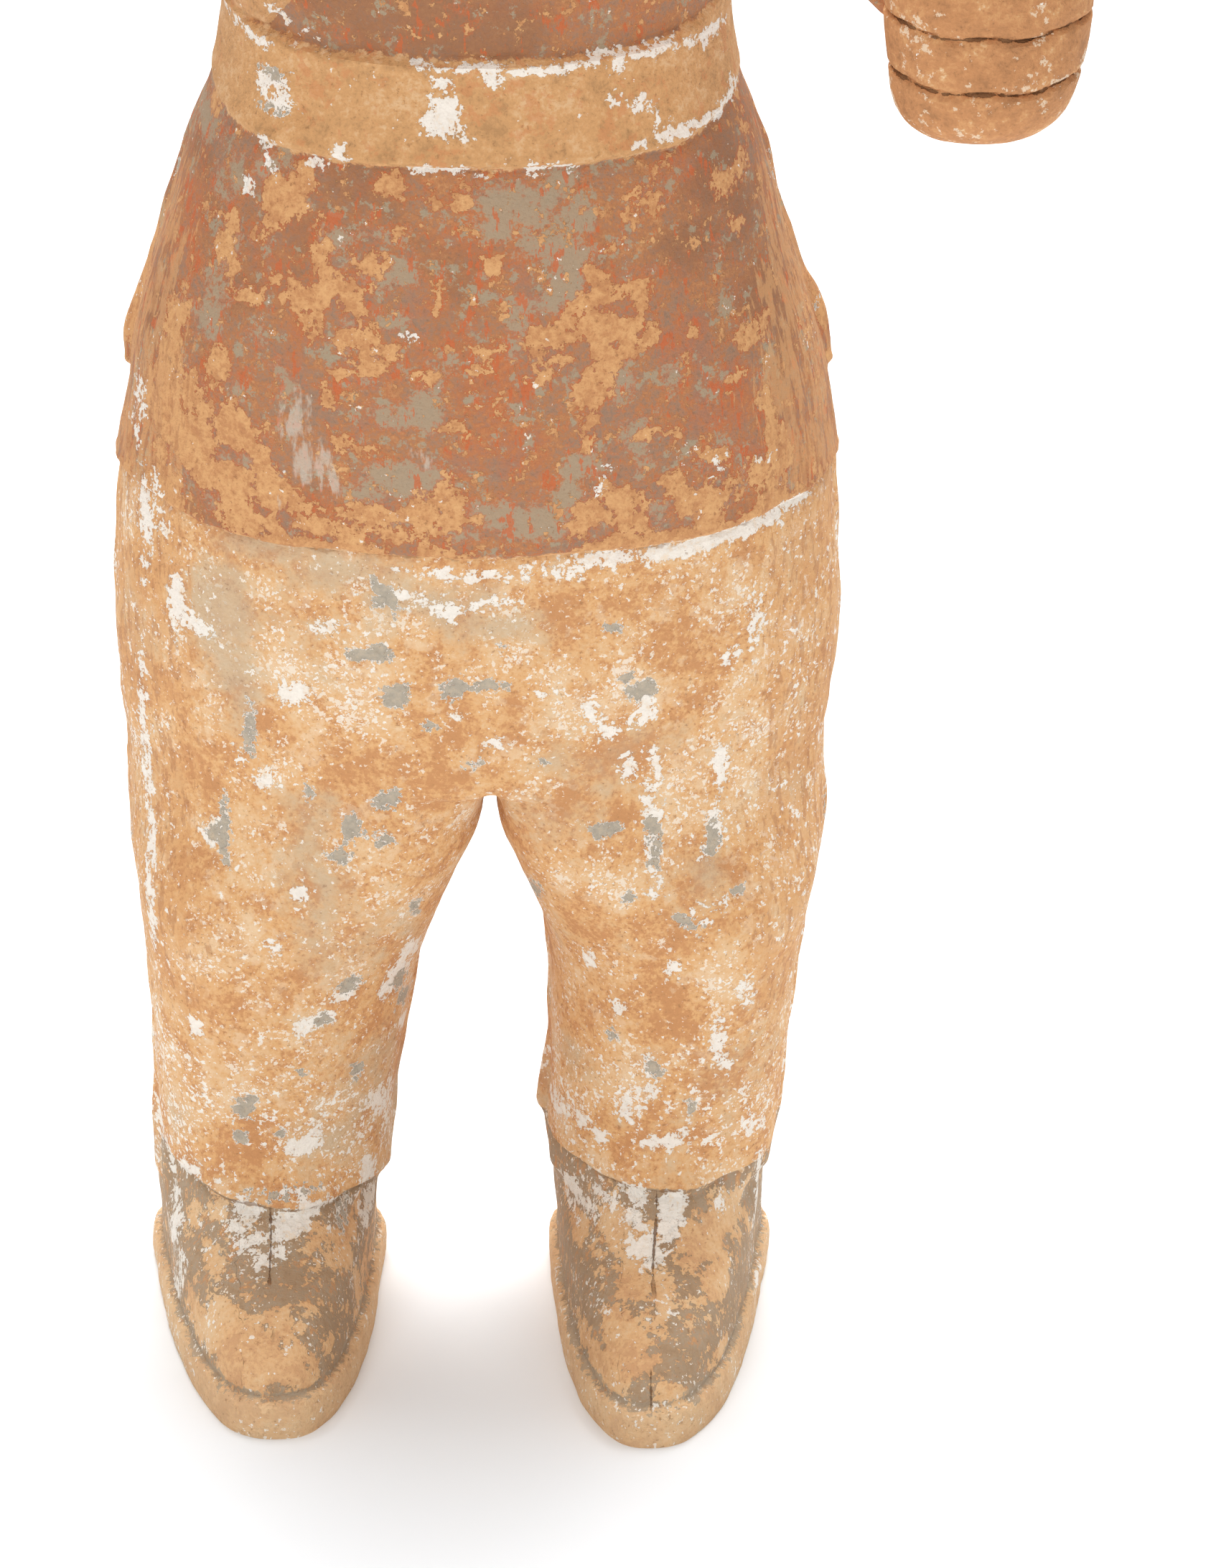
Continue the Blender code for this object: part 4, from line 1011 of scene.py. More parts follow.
def cut_flat(obj):
    """Cuts both soles flat at the ground."""
    form = bmesh.new()
    form.from_mesh(obj.data)
    found = bmesh.ops.bisect_plane(
        form, geom=form.verts[:] + form.edges[:] + form.faces[:], dist=1e-6,
        plane_co=(0, 0, 0), plane_no=(0, 0, -1), clear_outer=True,
    )
    rim = [e for e in found["geom_cut"] if isinstance(e, bmesh.types.BMEdge)]
    bmesh.ops.holes_fill(form, edges=rim)
    bmesh.ops.triangulate(form, faces=form.faces[:])
    form.to_mesh(obj.data)
    form.free()


def stand_in_frame(mesh):
    """Stands the figure where the CAD solid stands, and keeps it inside that solid's box."""
    points = mesh_points(mesh)
    middle = (points.min(0) + points.max(0)) / 2
    wanted = (np.array(cad_low) + np.array(cad_high)) / 2
    points[:, :2] += (wanted - middle)[:2]
    move_points(mesh, np.clip(points, np.array(cad_low), np.array(cad_high)))


def along_hem(x, y, over_hem):
    """How many parts inside a white streak below the tunic's hem each point lies."""
    field = np.full(len(x), OUTSIDE)
    for left, right, drop, width in HEM_STREAKS:
        ends = np.minimum(x - left, right - x) * 0.5
        field = np.maximum(field, np.minimum(width / 2 - np.abs(over_hem + drop), ends))
    return np.where(facing_front(y) > 0.3, field, OUTSIDE)


def in_hands(points):
    """How many parts inside a bare hand each point lies."""
    field = np.full(len(points), OUTSIDE)
    for fist in fist_frames():
        x, y, z = from_fist(points, fist)
        block = np.maximum(np.abs(x) / 34, np.abs(z) / 44)
        field = np.maximum(field, np.minimum((1 - block) * 30, 17 - y))
    return field


def dress_fields(points):
    """How far each point lies inside the belt, tunic, boots and bare parts, by the name of each."""
    x, y, z = points.T
    head, hands = z - NECK_Z, in_hands(points)
    over_belt, over_hem = belt_at(points), hem_at(points)
    width = size("belt_width")
    trunk = 82 - np.abs(x)
    above = np.where(trunk > 0, over_belt - width, 6)
    tunic = np.where(z < 395, np.minimum(over_hem, np.maximum(-over_belt, above)), above)
    back_hem = np.where(x < 0, BACK_HEMS[0][0], BACK_HEMS[1][0]) - z
    return {
        "tunic": np.minimum(tunic, np.minimum(-head, -hands)),
        "belt": np.minimum(np.minimum(over_belt, width - over_belt), trunk),
        "boot": np.where(y < 0, -cuff_at(points), back_hem),
        "hair": np.minimum(in_hair(points), -OUTSIDE),
        "skin": np.clip(head, OUTSIDE, -OUTSIDE),
        "hand": hands,
        "collar": collar_relief(x, y, z) * 4 - 2,
        "over_hem": over_hem,
        "over_sole": z - size("sole_thickness"),
        "flank": flank_at(x, z),
    }


def wear_fields(points, over_hem, flank):
    """How far each point lies inside the earth, slip, chips and wear, by the name of each."""
    x, y, z = points.T
    loose = 6 * hump(points, 17, 31) + 2.5 * hump(points, 7, 32)
    behind = facing_front(y) < 0.5

    def with_hidden(field, hidden):
        """The patches of the front, and loose ones from noise, mostly on the back."""
        return np.maximum(field, np.where(behind, hidden, hidden - 2.5))

    earth = with_hidden(patches(points, EARTH_ON_TUNIC), loose - 4.2 + 3 * flank)
    earth = np.maximum(earth, patches(points, BOOT_EARTH))
    earth = np.maximum(earth, 1.2 - np.abs(over_hem - 1) * 0.8 + 3 * hump(points, 9, 41))
    # Dark pigment on the tunic and boots, with the painted shade down the tunic's flanks and under its
    # belt.
    dark = np.maximum(patches(points, DARK_AND_SHADE_ON_TUNIC), patches(points, BOOT_DARK))
    cuffs = np.exp(-((z - trouser_hem(x) - 22) / 20) ** 2)
    edges = smoothstep(np.abs(x), 76, 90) * (z < skirt_hem(y))
    line, fingers = finger_lines(points)
    seam, vamp = boot_lines(points)
    drawn, face = face_lines(x, y, z)
    return {
        "earth": np.maximum(earth, loose - 6 - 3 * (z > 395)),
        "grey": with_hidden(patches(points, GREY_ON_TUNIC), 5 * hump(points, 13, 33) - 3),
        "red": with_hidden(patches(points, RED_ON_TUNIC), 6 * hump(points, 15, 34) - 2),
        "dark": with_hidden(dark, 8 * hump(points, 26, 35) - 2),
        "pale": with_hidden(patches(points, PALE_AREAS), 8 * hump(points, 22, 36) - 4),
        "stroke": np.maximum(strokes(points, SLIP_STREAKS), along_hem(x, y, over_hem)),
        "slip": with_hidden(patches(points, SLIP_PATCHES), 4 * hump(points, 10, 37) - 4.4),
        "smear": strokes(points, SMEARS),
        "chip": with_hidden(patches(points, CLAY_CHIPS), 3.4 * hump(points, 8, 38) - 3.6),
        "flecks": np.clip(cuffs + 0.6 * edges, 0, 1) * (z < 250),
        # Where the dark lines go: painted shade in the finger cuts and boot seams, and the face's drawn
        # lines.
        "cut": np.where(fingers > 0.01, line, np.where(face > 0.01, drawn, seam)),
        "cut_here": np.maximum(fingers, np.maximum(vamp, face)),
    }


def map_finishes(mesh):
    """Notes on each point how far it lies inside each finish, and gives back the finishes' names."""
    points = mesh_points(mesh) / PART
    fields = dress_fields(points)
    fields.update(wear_fields(points, fields["over_hem"], fields["flank"]))
    for name, values in fields.items():
        made = mesh.attributes.new(name, "FLOAT", "POINT")
        made.data.foreach_set("value", np.asarray(values, np.float32))
    return tuple(fields)


def linear(code):
    """Linear colour of an sRGB hex code."""
    channels = [int(code[i : i + 2], 16) / 255 for i in (1, 3, 5)]
    return tuple(c / 12.92 if c <= 0.04045 else ((c + 0.055) / 1.055) ** 2.4 for c in channels)


def darker(colour, share):
    """The colour with this share of its light."""
    return tuple(c * share for c in colour[:3]) + (1.0,)


def blended(first, second, share):
    """The first colour with this share of the second in it."""
    return tuple(a + (b - a) * share for a, b in zip(first[:3], second[:3])) + (1.0,)


def add(tree, kind, inputs=None, output=0, **settings):
    """Adds a node with its settings and links, and gives back the socket that it feeds."""
    node = tree.nodes.new(kind)
    for name, value in settings.items():
        setattr(node, name, value)
    for name, value in (inputs or {}).items():
        if isinstance(value, bpy.types.NodeSocket):
            tree.links.new(value, node.inputs[name])
        else:
            node.inputs[name].default_value = value
    return node.outputs[output]


def lumps(tree, across, rough, shift, stretch=(1, 1, 1)):
    """Noise about 0 whose lumps are this many millimetres across, down to grains of about FINEST."""
    place = add(tree, "ShaderNodeTexCoord", output="Object")
    place = add(tree, "ShaderNodeMapping", {
        "Vector": place, "Location": (shift, shift * 0.7, -shift), "Scale": stretch,
    })
    noise = add(tree, "ShaderNodeTexNoise", {
        "Vector": place, "Scale": 1000 / across, "Roughness": rough,
        "Detail": float(max(1, round(math.log2(across / FINEST)))),
    })
    return add(tree, "ShaderNodeMath", {0: noise, 1: 0.5}, operation="SUBTRACT")


def mixed(tree, *parts):
    """Sum of numbers, sockets and pairs, where a pair is multiplied together first."""
    total = float(sum(part for part in parts if isinstance(part, (int, float))))
    for part in parts:
        if isinstance(part, tuple):
            inputs = {0: part[0], 1: part[1], 2: total}
            total = add(tree, "ShaderNodeMath", inputs, operation="MULTIPLY_ADD")
        elif isinstance(part, bpy.types.NodeSocket):
            total = add(tree, "ShaderNodeMath", {0: part, 1: total}, operation="ADD")
    return total


def ragged(tree, field, noise, wander, edge, lift=0.0):
    """1 inside a patch and 0 outside. The noise moves the edge by this many millimetres."""
    moved = mixed(tree, (noise, wander), field)
    return add(tree, "ShaderNodeMapRange", {
        "Value": moved, "From Min": -lift - edge, "From Max": -lift + edge,
    }, interpolation_type="SMOOTHSTEP")


def torn_line(tree, field, reach, noise, wander, edge):
    """1 along the line where the field is 0, out to this reach on both sides."""
    away = add(tree, "ShaderNodeMath", {0: field}, operation="ABSOLUTE")
    return ragged(tree, mixed(tree, (away, -1.0), reach), noise, wander, edge)


def any_of(tree, first, *others):
    """1 where any of these masks is 1."""
    for other in others:
        first = add(tree, "ShaderNodeMath", {0: first, 1: other}, operation="MAXIMUM")
    return first


def coat(tree, below, above, mask, share=1.0):
    """Lays one colour over another where the mask is 1, so that it hides this share of the one below."""
    cover = add(tree, "ShaderNodeMath", {0: mask, 1: share}, operation="MULTIPLY")
    return add(tree, "ShaderNodeMix", {0: cover, 6: below, 7: above}, 2, data_type="RGBA")


def clouds(tree, parts, *stops):
    """Colour through stops, each a place and a colour, as the parts' sum goes from -0.5 to 0.5."""
    colour = add(tree, "ShaderNodeValToRGB", {"Fac": mixed(tree, 0.5, *parts)})
    elements = colour.node.color_ramp.elements
    elements.remove(elements[0])
    for i, (place, shade) in enumerate(stops):
        element = elements[0] if i == 0 else elements.new(place)
        element.position = place
        element.color = (*shade[:3], 1.0)
    return colour


def earth_layer(tree, paint, grain):
    """Burial loess that has turned hard: orange tan, cloudy, in thin crisp flakes with a fine crumb."""
    colour = clouds(
        tree,
        ((grain["broad"], 0.6), (grain["cloud"], 0.6), (grain["tight"], 0.35), (grain["crumb"], 0.45)),
        (0.24, darker(paint.earth_deep, 0.94)),
        (0.40, paint.earth_deep),
        (0.50, paint.earth),
        (0.64, blended(paint.earth, paint.earth_pale, 0.45)),
        (0.84, paint.earth_pale),
    )
    flaked = ragged(tree, mixed(tree, (grain["flake"], 6.0), -0.50), grain["broad"], 7.0, 0.15)
    colour = coat(tree, colour, blended(paint.earth_pale, paint.earth, 0.35), flaked, 0.45)
    stained = ragged(tree, mixed(tree, (grain["patch"], -6.0), -0.55), grain["torn"], 4.0, 0.25)
    return coat(tree, colour, darker(paint.earth_deep, 0.98), stained, 0.35)


def trouser_layer(tree, paint, grain, noted, earth):
    """Trousers: earth over white slip, thin and pale in places, with a film of grey."""
    wash = mixed(tree, (grain["torn"], 6.0), (grain["broad"], 3.0), -0.75)
    wash = ragged(tree, wash, grain["patch"], 7.0, 0.25)
    colour = coat(tree, earth, blended(paint.earth_pale, paint.slip, 0.20), wash, 0.30)
    crust = mixed(tree, (grain["broad"], 4.0), (grain["cloud"], -4.0), -1.15)
    crust = ragged(tree, crust, grain["fleck"], 9.0, 0.10)
    colour = coat(tree, colour, blended(paint.earth_pale, paint.slip, 0.6), crust, 0.80)
    rust = mixed(tree, (grain["torn"], 4.0), (grain["flake"], 4.0), -1.05)
    rust = ragged(tree, rust, grain["tight"], -5.0, 0.25)
    colour = coat(tree, colour, darker(paint.earth_deep, 0.90), rust, 0.40)
    pale = ragged(tree, noted["pale"], grain["cloud"], 20, 4.5)
    return coat(tree, colour, blended(paint.earth_pale, paint.clay, 0.62), pale, 0.66)


def worn_pigment(tree, paint, grain, noted):
    """Red and mauve pigment worn to grey, with bright specks, and darker patches that are partly painted
    shade.
    """
    colour = clouds(
        tree, ((grain["broad"], 0.7), (grain["patch"], 0.9), (grain["crumb"], 0.9)),
        (0.24, darker(paint.pigment_mauve, 0.92)),
        (0.42, blended(paint.pigment_mauve, paint.pigment, 0.45)),
        (0.54, paint.pigment),
        (0.68, blended(paint.pigment, paint.earth_deep, 0.40)),
        (0.86, blended(paint.pigment, paint.earth, 0.60)),
    )
    reddish = ragged(tree, noted["red"], grain["cloud"], 26, 4.0, 0.5)
    colour = coat(tree, colour, paint.pigment_bright, reddish, 0.28)
    # Darker patches: darkened pigment, and painted shade down the flanks and under the belt.
    dark = ragged(tree, noted["dark"], grain["broad"], 24, 4.0)
    shade_and_darkened_pigment = darker(blended(paint.pigment_mauve, paint.pigment, 0.6), 0.70)
    colour = coat(tree, colour, shade_and_darkened_pigment, dark, 0.66)
    moved = mixed(tree, (grain["cloud"], 10), (grain["flake"], 10), (grain["crumb"], 6))
    worn = ragged(tree, noted["grey"], moved, 1, 0.9, 0.2)
    veined = ragged(tree, noted["grey"], moved, 1, 0.4, 1.4)
    wisps = ragged(tree, mixed(tree, (grain["flake"], -9.0), -1.05), grain["torn"], 8.0, 0.30)
    colour = coat(tree, colour, paint.pigment_bright, veined, 0.30)
    colour = coat(tree, colour, paint.pigment_grey, any_of(tree, worn, wisps), 0.80)
    specks = mixed(tree, (noted["red"], 0.07), (grain["brush"], 9.0), -1.0)
    specks = ragged(tree, specks, grain["cloud"], 6.0, 0.25)
    return coat(tree, colour, paint.pigment_bright, specks, 0.78)


def tunic_layer(tree, paint, grain, noted):
    """Tunic: worn pigment under rimmed patches of earth. Gives its colour and the earth's mask."""
    colour = worn_pigment(tree, paint, grain, noted)
    moved = mixed(tree, (grain["cloud"], 8), (grain["patch"], 9), (grain["fleck"], 6))
    rim = ragged(tree, noted["earth"], moved, 1, 0.3, 1.2)
    colour = coat(tree, colour, paint.pigment_bright, rim, 0.45)
    cover = ragged(tree, noted["earth"], moved, 1, 0.2, 0.5)
    crusts = ragged(tree, mixed(tree, (grain["patch"], 9.0), -1.12), grain["fleck"], 5.0, 0.15)
    cover = any_of(tree, cover, crusts)
    lumpy = clouds(
        tree, ((grain["cloud"], 0.8), (grain["tight"], 0.9), (grain["crumb"], 0.7)),
        (0.24, blended(paint.earth_deep, paint.pigment, 0.55)),
        (0.42, darker(paint.earth_deep, 0.96)),
        (0.56, blended(paint.earth_deep, paint.earth, 0.45)),
        (0.80, paint.earth),
    )
    colour = coat(tree, colour, lumpy, cover)
    smear = ragged(tree, noted["smear"], grain["brush"], 12, 1.2)
    return coat(tree, colour, blended(paint.pigment_grey, paint.slip, 0.42), smear, 0.60), cover


def belt_layer(tree, paint, grain):
    """Belt: smooth ochre earth, brown in its hollows and pale where it is rubbed."""
    colour = clouds(
        tree, ((grain["cloud"], 1.1), (grain["tight"], 0.7), (grain["crumb"], 0.6)),
        (0.24, darker(paint.belt, 0.74)),
        (0.40, darker(paint.belt, 0.91)),
        (0.54, paint.belt),
        (0.72, blended(paint.belt, paint.earth_pale, 0.40)),
    )
    rust = ragged(tree, mixed(tree, (grain["patch"], -7.0), -0.75), grain["broad"], 5.0, 0.3)
    return coat(tree, colour, blended(paint.belt, paint.pigment_bright, 0.45), rust, 0.55)


def boot_layer(tree, paint, grain, noted, earth):
    """Boots: dark pigment worn brown grey in brushed streaks, under earth paled as painted light. Gives the
    colour and the earth's mask.
    """
    colour = clouds(
        tree, ((grain["patch"], 0.8), (grain["brush"], 1.0), (grain["broad"], 0.5)),
        (0.24, darker(paint.boot, 0.86)),
        (0.42, paint.boot),
        (0.54, blended(paint.boot, paint.clay, 0.55)),
        (0.68, blended(paint.boot, paint.earth_deep, 0.65)),
        (0.84, paint.earth),
    )
    dark = ragged(tree, noted["dark"], grain["cloud"], 16, 2.0)
    colour = coat(tree, colour, darker(paint.boot, 0.84), dark, 0.45)
    moved = mixed(tree, (grain["cloud"], 14), (grain["patch"], 12), (grain["fleck"], 6))
    cover = ragged(tree, noted["earth"], moved, 1, 0.2, 0.2)
    crusts = ragged(tree, mixed(tree, (grain["flake"], 9.0), -0.90), grain["fleck"], 5.0, 0.15)
    cover = any_of(tree, cover, crusts)
    # The earth on the boots is paled as painted light, since the boots get less lamp light than the
    # trousers.
    return coat(tree, colour, coat(tree, earth, paint.earth_pale, 0.25), cover, 0.92), cover


def hand_layer(tree, paint, grain):
    """Hands: worn down to orange earth and bare fired clay, with a few remains of slip."""
    colour = clouds(
        tree, ((grain["cloud"], 1.1), (grain["tight"], 0.8), (grain["crumb"], 0.6)),
        (0.22, darker(paint.hand, 0.74)),
        (0.40, darker(paint.hand, 0.91)),
        (0.54, paint.hand),
        (0.72, blended(paint.hand, paint.earth, 0.5)),
        (0.90, paint.earth_pale),
    )
    worn = ragged(tree, mixed(tree, (grain["flake"], 8.0), -0.95), grain["torn"], 6.0, 0.15)
    return coat(tree, colour, blended(paint.earth_pale, paint.slip, 0.3), worn, 0.7)


def skin_layer(tree, paint, grain, earth):
    """Face: pale flesh slip, worn in places to orange earth."""
    worn = ragged(tree, mixed(tree, (grain["torn"], 8.0), 0.2), grain["flake"], 6.0, 0.3)
    flesh = clouds(
        tree, ((grain["cloud"], 1.0), (grain["crumb"], 0.5)),
        (0.25, darker(paint.flesh, 0.90)),
        (0.5, paint.flesh),
        (0.8, blended(paint.flesh, paint.slip, 0.4)),
    )
    return coat(tree, flesh, coat(tree, earth, paint.belt, 0.4), worn, 0.8)


def hair_layer(tree, paint, grain):
    """Hair: soot black worn to grey."""
    return clouds(
        tree, ((grain["patch"], 1.1), (grain["torn"], 0.9), (grain["crumb"], 0.5)),
        (0.22, darker(paint.hair, 0.7)),
        (0.50, paint.hair),
        (0.62, blended(paint.hair, paint.clay, 0.5)),
        (0.84, blended(paint.clay, paint.earth_deep, 0.5)),
    )


def dressed(tree, paint, grain, noted):
    """The layers of each piece of dress and of the body. Gives the colour and where earth stands out."""
    cloud, tight = grain["cloud"], grain["tight"]
    earth = earth_layer(tree, paint, grain)
    colour = trouser_layer(tree, paint, grain, noted, earth)
    tunic, tunic_earth = tunic_layer(tree, paint, grain, noted)
    in_tunic = ragged(tree, noted["tunic"], mixed(tree, (cloud, 6), (grain["fleck"], 4)), 1, 0.3)
    colour = coat(tree, colour, tunic, in_tunic)
    belt = belt_layer(tree, paint, grain)
    colour = coat(tree, colour, belt, ragged(tree, noted["collar"], cloud, 4, 0.5), 0.8)
    in_belt = ragged(tree, noted["belt"], mixed(tree, (cloud, 8), (grain["fleck"], 4)), 1, 0.4, 0.4)
    colour = coat(tree, colour, belt, in_belt)
    boots, boot_earth = boot_layer(tree, paint, grain, noted, earth)
    in_boot = ragged(tree, noted["boot"], tight, 2.0, 0.3)
    colour = coat(tree, colour, boots, in_boot)
    # The sole's earth is paled as painted light, since its side faces down and away from the lamps.
    sole = ragged(tree, mixed(tree, (noted["over_sole"], -1.0), 0.2), tight, 4.0, 0.3)
    colour = coat(tree, colour, coat(tree, earth, paint.earth_pale, 0.45), sole, 0.85)
    over_welt = mixed(tree, noted["over_sole"], -1.3)
    welt = torn_line(tree, over_welt, mixed(tree, (grain["torn"], 9.0), 0.6), tight, 8.0, 0.3)
    colour = coat(tree, colour, blended(paint.clay, paint.boot, 0.35), welt, 0.8)
    for name, layer, edge in (
        ("skin", skin_layer(tree, paint, grain, earth), 0.5),
        ("hand", hand_layer(tree, paint, grain), 0.5),
        ("hair", hair_layer(tree, paint, grain), 0.4),
    ):
        colour = coat(tree, colour, layer, ragged(tree, noted[name], tight, 3, edge))
    on_tunic = mixed(tree, (tunic_earth, in_tunic))
    on_boot = mixed(tree, (boot_earth, in_boot))
    return colour, mixed(tree, (on_tunic, 0.35), (on_boot, 0.25))


def scraped_flanks(tree, paint, grain, noted, colour):
    """Streaks up and down the narrow sides, where the clay was scraped."""
    scraped = ragged(tree, mixed(tree, (noted["flank"], 3.0), -2.7), grain["streak"], 9.0, 0.4)
    colour = coat(tree, colour, blended(paint.earth, paint.earth_deep, 0.35), scraped, 0.60)
    rubbed = ragged(tree, mixed(tree, (noted["flank"], 2.2), -2.75), grain["brush"], -9.0, 0.35)
    return coat(tree, colour, darker(paint.pigment, 0.92), rubbed, 0.45)


def white_slip(tree, paint, grain, noted, colour):
    """White slip in patches, brush strokes, flecks and round the chips. Gives the colour and a mask."""
    patch, fleck, crumb = grain["patch"], grain["fleck"], grain["crumb"]
    moved = mixed(tree, (patch, 8), (fleck, 8), (crumb, 3))
    slip = ragged(tree, noted["slip"], moved, 1, 0.14, 0.3)
    brushed = ragged(tree, noted["stroke"], mixed(tree, (patch, 8), (fleck, 7)), 1, 0.14, 0.2)
    moved = mixed(tree, (fleck, 8), (grain["torn"], 6))
    flecks = ragged(tree, mixed(tree, (noted["flecks"], 1.35), -1.95), moved, 1, 0.12)
    below_hem = ragged(tree, mixed(tree, (noted["over_hem"], -1.0), -1.0), grain["cloud"], 1, 1.0)
    scattered = mixed(tree, (patch, -4.0), (grain["broad"], 4.0), -1.45)
    scattered = ragged(tree, scattered, fleck, -9.0, 0.12)
    moved = mixed(tree, (grain["flake"], 7), (fleck, 5), (crumb, 3))
    rim = ragged(tree, noted["chip"], moved, 1, 0.12, 0.7)
    raised = any_of(tree, slip, brushed, rim)
    white = any_of(tree, raised, flecks, mixed(tree, (scattered, below_hem)))
    shade = clouds(
        tree, ((grain["tight"], 0.9), (patch, 0.6)),
        (0.30, blended(paint.slip, paint.earth_pale, 0.65)),
        (0.46, darker(paint.slip, 0.95)),
        (0.62, paint.slip),
    )
    return coat(tree, colour, shade, white, 0.90), raised


def clay_chips(tree, paint, grain, noted, colour):
    """Chips down to the grey clay. Gives the colour and the chips' mask."""
    moved = mixed(tree, (grain["flake"], 7), (grain["fleck"], 5), (grain["crumb"], 3))
    chips = ragged(tree, noted["chip"], moved, 1, 0.12, 0.25)
    clay = clouds(
        tree, ((grain["fleck"], 1.0),),
        (0.3, darker(paint.clay, 0.84)),
        (0.5, paint.clay),
        (0.75, blended(paint.clay, paint.earth_pale, 0.3)),
    )
    return coat(tree, colour, clay, chips, 0.90), chips


def dark_lines(tree, paint, grain, noted, colour):
    """Dark pits, painted shadow under the tunic's hem and in the slit over the boots, and dark lines that
    are painted shade in the finger cuts and boot seams and drawn paint on the face. Gives the colour and
    the cuts' mask.
    """
    dirt_and_shade, cloud = paint.earth_deep, grain["cloud"]
    pits = ragged(tree, mixed(tree, (grain["crumb"], -8.0), -1.45), grain["flake"], 2.0, 0.2)
    colour = coat(tree, colour, darker(dirt_and_shade, 0.5), pits, 0.45)
    # Painted shadow under the tunic's hem.
    painted_hem_shadow = torn_line(tree, mixed(tree, noted["over_hem"], 0.9), -0.1, cloud, 6.0, 0.3)
    colour = coat(tree, colour, darker(dirt_and_shade, 0.5), painted_hem_shadow, 0.40)
    # Painted shade in the slit between the trouser hems and the boots.
    painted_slit_shade = torn_line(tree, mixed(tree, noted["boot"], -0.7), -0.05, cloud, 6.0, 0.2)
    colour = coat(tree, colour, darker(dirt_and_shade, 0.35), painted_slit_shade, 0.65)
    # Painted shade in the cuts between the fingers and up the boot seams, and the face's drawn lines.
    cuts = torn_line(tree, noted["cut"], 0.16, grain["patch"], 3.0, 0.16)
    cuts = mixed(tree, (cuts, noted["cut_here"]))
    return coat(tree, colour, darker(dirt_and_shade, 0.30), cuts, 0.85), cuts


def worn_pottery(paint, finishes):
    """Low-fired grey earthenware, pressed in moulds, slipped, painted and buried: dead matt and crumbly."""
    material = bpy.data.materials.new("painted_earthenware")
    material.use_nodes = True
    tree = material.node_tree
    grain = {name: lumps(tree, *rest) for name, *rest in GRAINS}
    noted = {
        name: add(tree, "ShaderNodeAttribute", output="Fac", attribute_name=name) for name in finishes
    }
    colour, earth = dressed(tree, paint, grain, noted)
    colour = scraped_flanks(tree, paint, grain, noted, colour)
    colour, slip = white_slip(tree, paint, grain, noted, colour)
    colour, chips = clay_chips(tree, paint, grain, noted, colour)
    # cuts: painted shade in the finger cuts and boot seams, and the face's drawn lines.
    colour, cuts = dark_lines(tree, paint, grain, noted, colour)
    height = mixed(
        tree, earth, (slip, 0.25), (chips, -0.8), (grain["tight"], 1.1), (grain["crumb"], 0.8),
        (grain["cloud"], 1.1), (cuts, -0.8),
    )
    shader = tree.nodes["Principled BSDF"]
    tree.links.new(colour, shader.inputs["Base Color"])
    normal = add(tree, "ShaderNodeBump", {"Height": height, "Strength": 0.9, "Distance": GRAIN_HEIGHT})
    tree.links.new(normal, shader.inputs["Normal"])
    matt = mixed(tree, (grain["tight"], 0.25), (chips, -0.06), 0.86)
    tree.links.new(matt, shader.inputs["Roughness"])
    # Bare clay and matt paint reflect little at their surface.
    shader.inputs["IOR"].default_value = 1.5
    shader.inputs["Specular IOR Level"].default_value = 0.3
    return material


def length_of(name, words, usual, least, most=1.0):
    """A length in metres that a user may change."""
    return FloatProperty(name=name, description=words, default=usual, min=least, max=most, unit="LENGTH")


class WarriorSizes(PropertyGroup):
    """Sizes of the figure that a user may change."""

    height: length_of("Height", "Ground to the top of the hair knot", 0.680, 0.6, 0.8)
    belt_width: length_of("Belt width", "Height of the belt", 0.028, 0.01)
    belt_proud: length_of("Belt proud", "How far the belt stands out", 0.0024, 0.0)
    hem_proud: length_of("Hem proud", "Step from the tunic's hem to the trousers", 0.0020, 0.0)
    sole_thickness: length_of("Sole thickness", "Thickness of the soles", 0.011, 0.004)
    sole_ledge: length_of("Sole ledge", "How far the soles stand out", 0.0012, 0.0)
    boot_inset: length_of("Boot inset", "How far the boots lie inside the trouser legs", 0.0020, 0.0)
    groove_width: length_of("Groove width", "Width of the cuts between the fingers", 0.0030, 0.001)
    groove_depth: length_of("Groove depth", "Depth of the cuts between the fingers", 0.0018, 0.0)
    seam_proud: length_of("Seam proud", "Ridge where the two moulds met", 0.0016, 0.0)


def colour_of(name, words, code):
    """A colour that a user may change, from its sRGB hex code."""
    return FloatVectorProperty(
        name=name, description=words, default=(*linear(code), 1), size=4, subtype="COLOR", min=0, max=1)


class WarriorColours(PropertyGroup):
    """Colours of the clay, slip, pigments and earth."""

    clay: colour_of("Clay", "Fired clay in the chips", "#A89B88")
    slip: colour_of("Slip", "White ground under the pigments", "#F4ECE1")
    earth: colour_of("Earth", "Burial earth", "#DEAA74")
    earth_deep: colour_of("Deep earth", "Burial earth where it is thick", "#CB9160")
    earth_pale: colour_of("Pale earth", "Burial earth where it is thin", "#E9CAA2")
    belt: colour_of("Belt", "Ochre of the belt", "#D29E6A")
    pigment: colour_of("Red pigment", "Pigment of the tunic", "#B37850")
    pigment_bright: colour_of("Bright red", "Pigment where it is thick", "#C7683C")
    pigment_mauve: colour_of("Mauve", "Pigment where it has darkened", "#A07F68")
    pigment_grey: colour_of("Worn grey", "Pigment where it is worn to the clay", "#A8997F")
    boot: colour_of("Boot brown", "Pigment of the boots", "#AE9071")
    flesh: colour_of("Flesh", "Slip of the face", "#E2BC98")
    hand: colour_of("Hand", "Worn clay of the hands", "#C68B5C")
    hair: colour_of("Hair", "Soot black of the hair", "#4F463D")


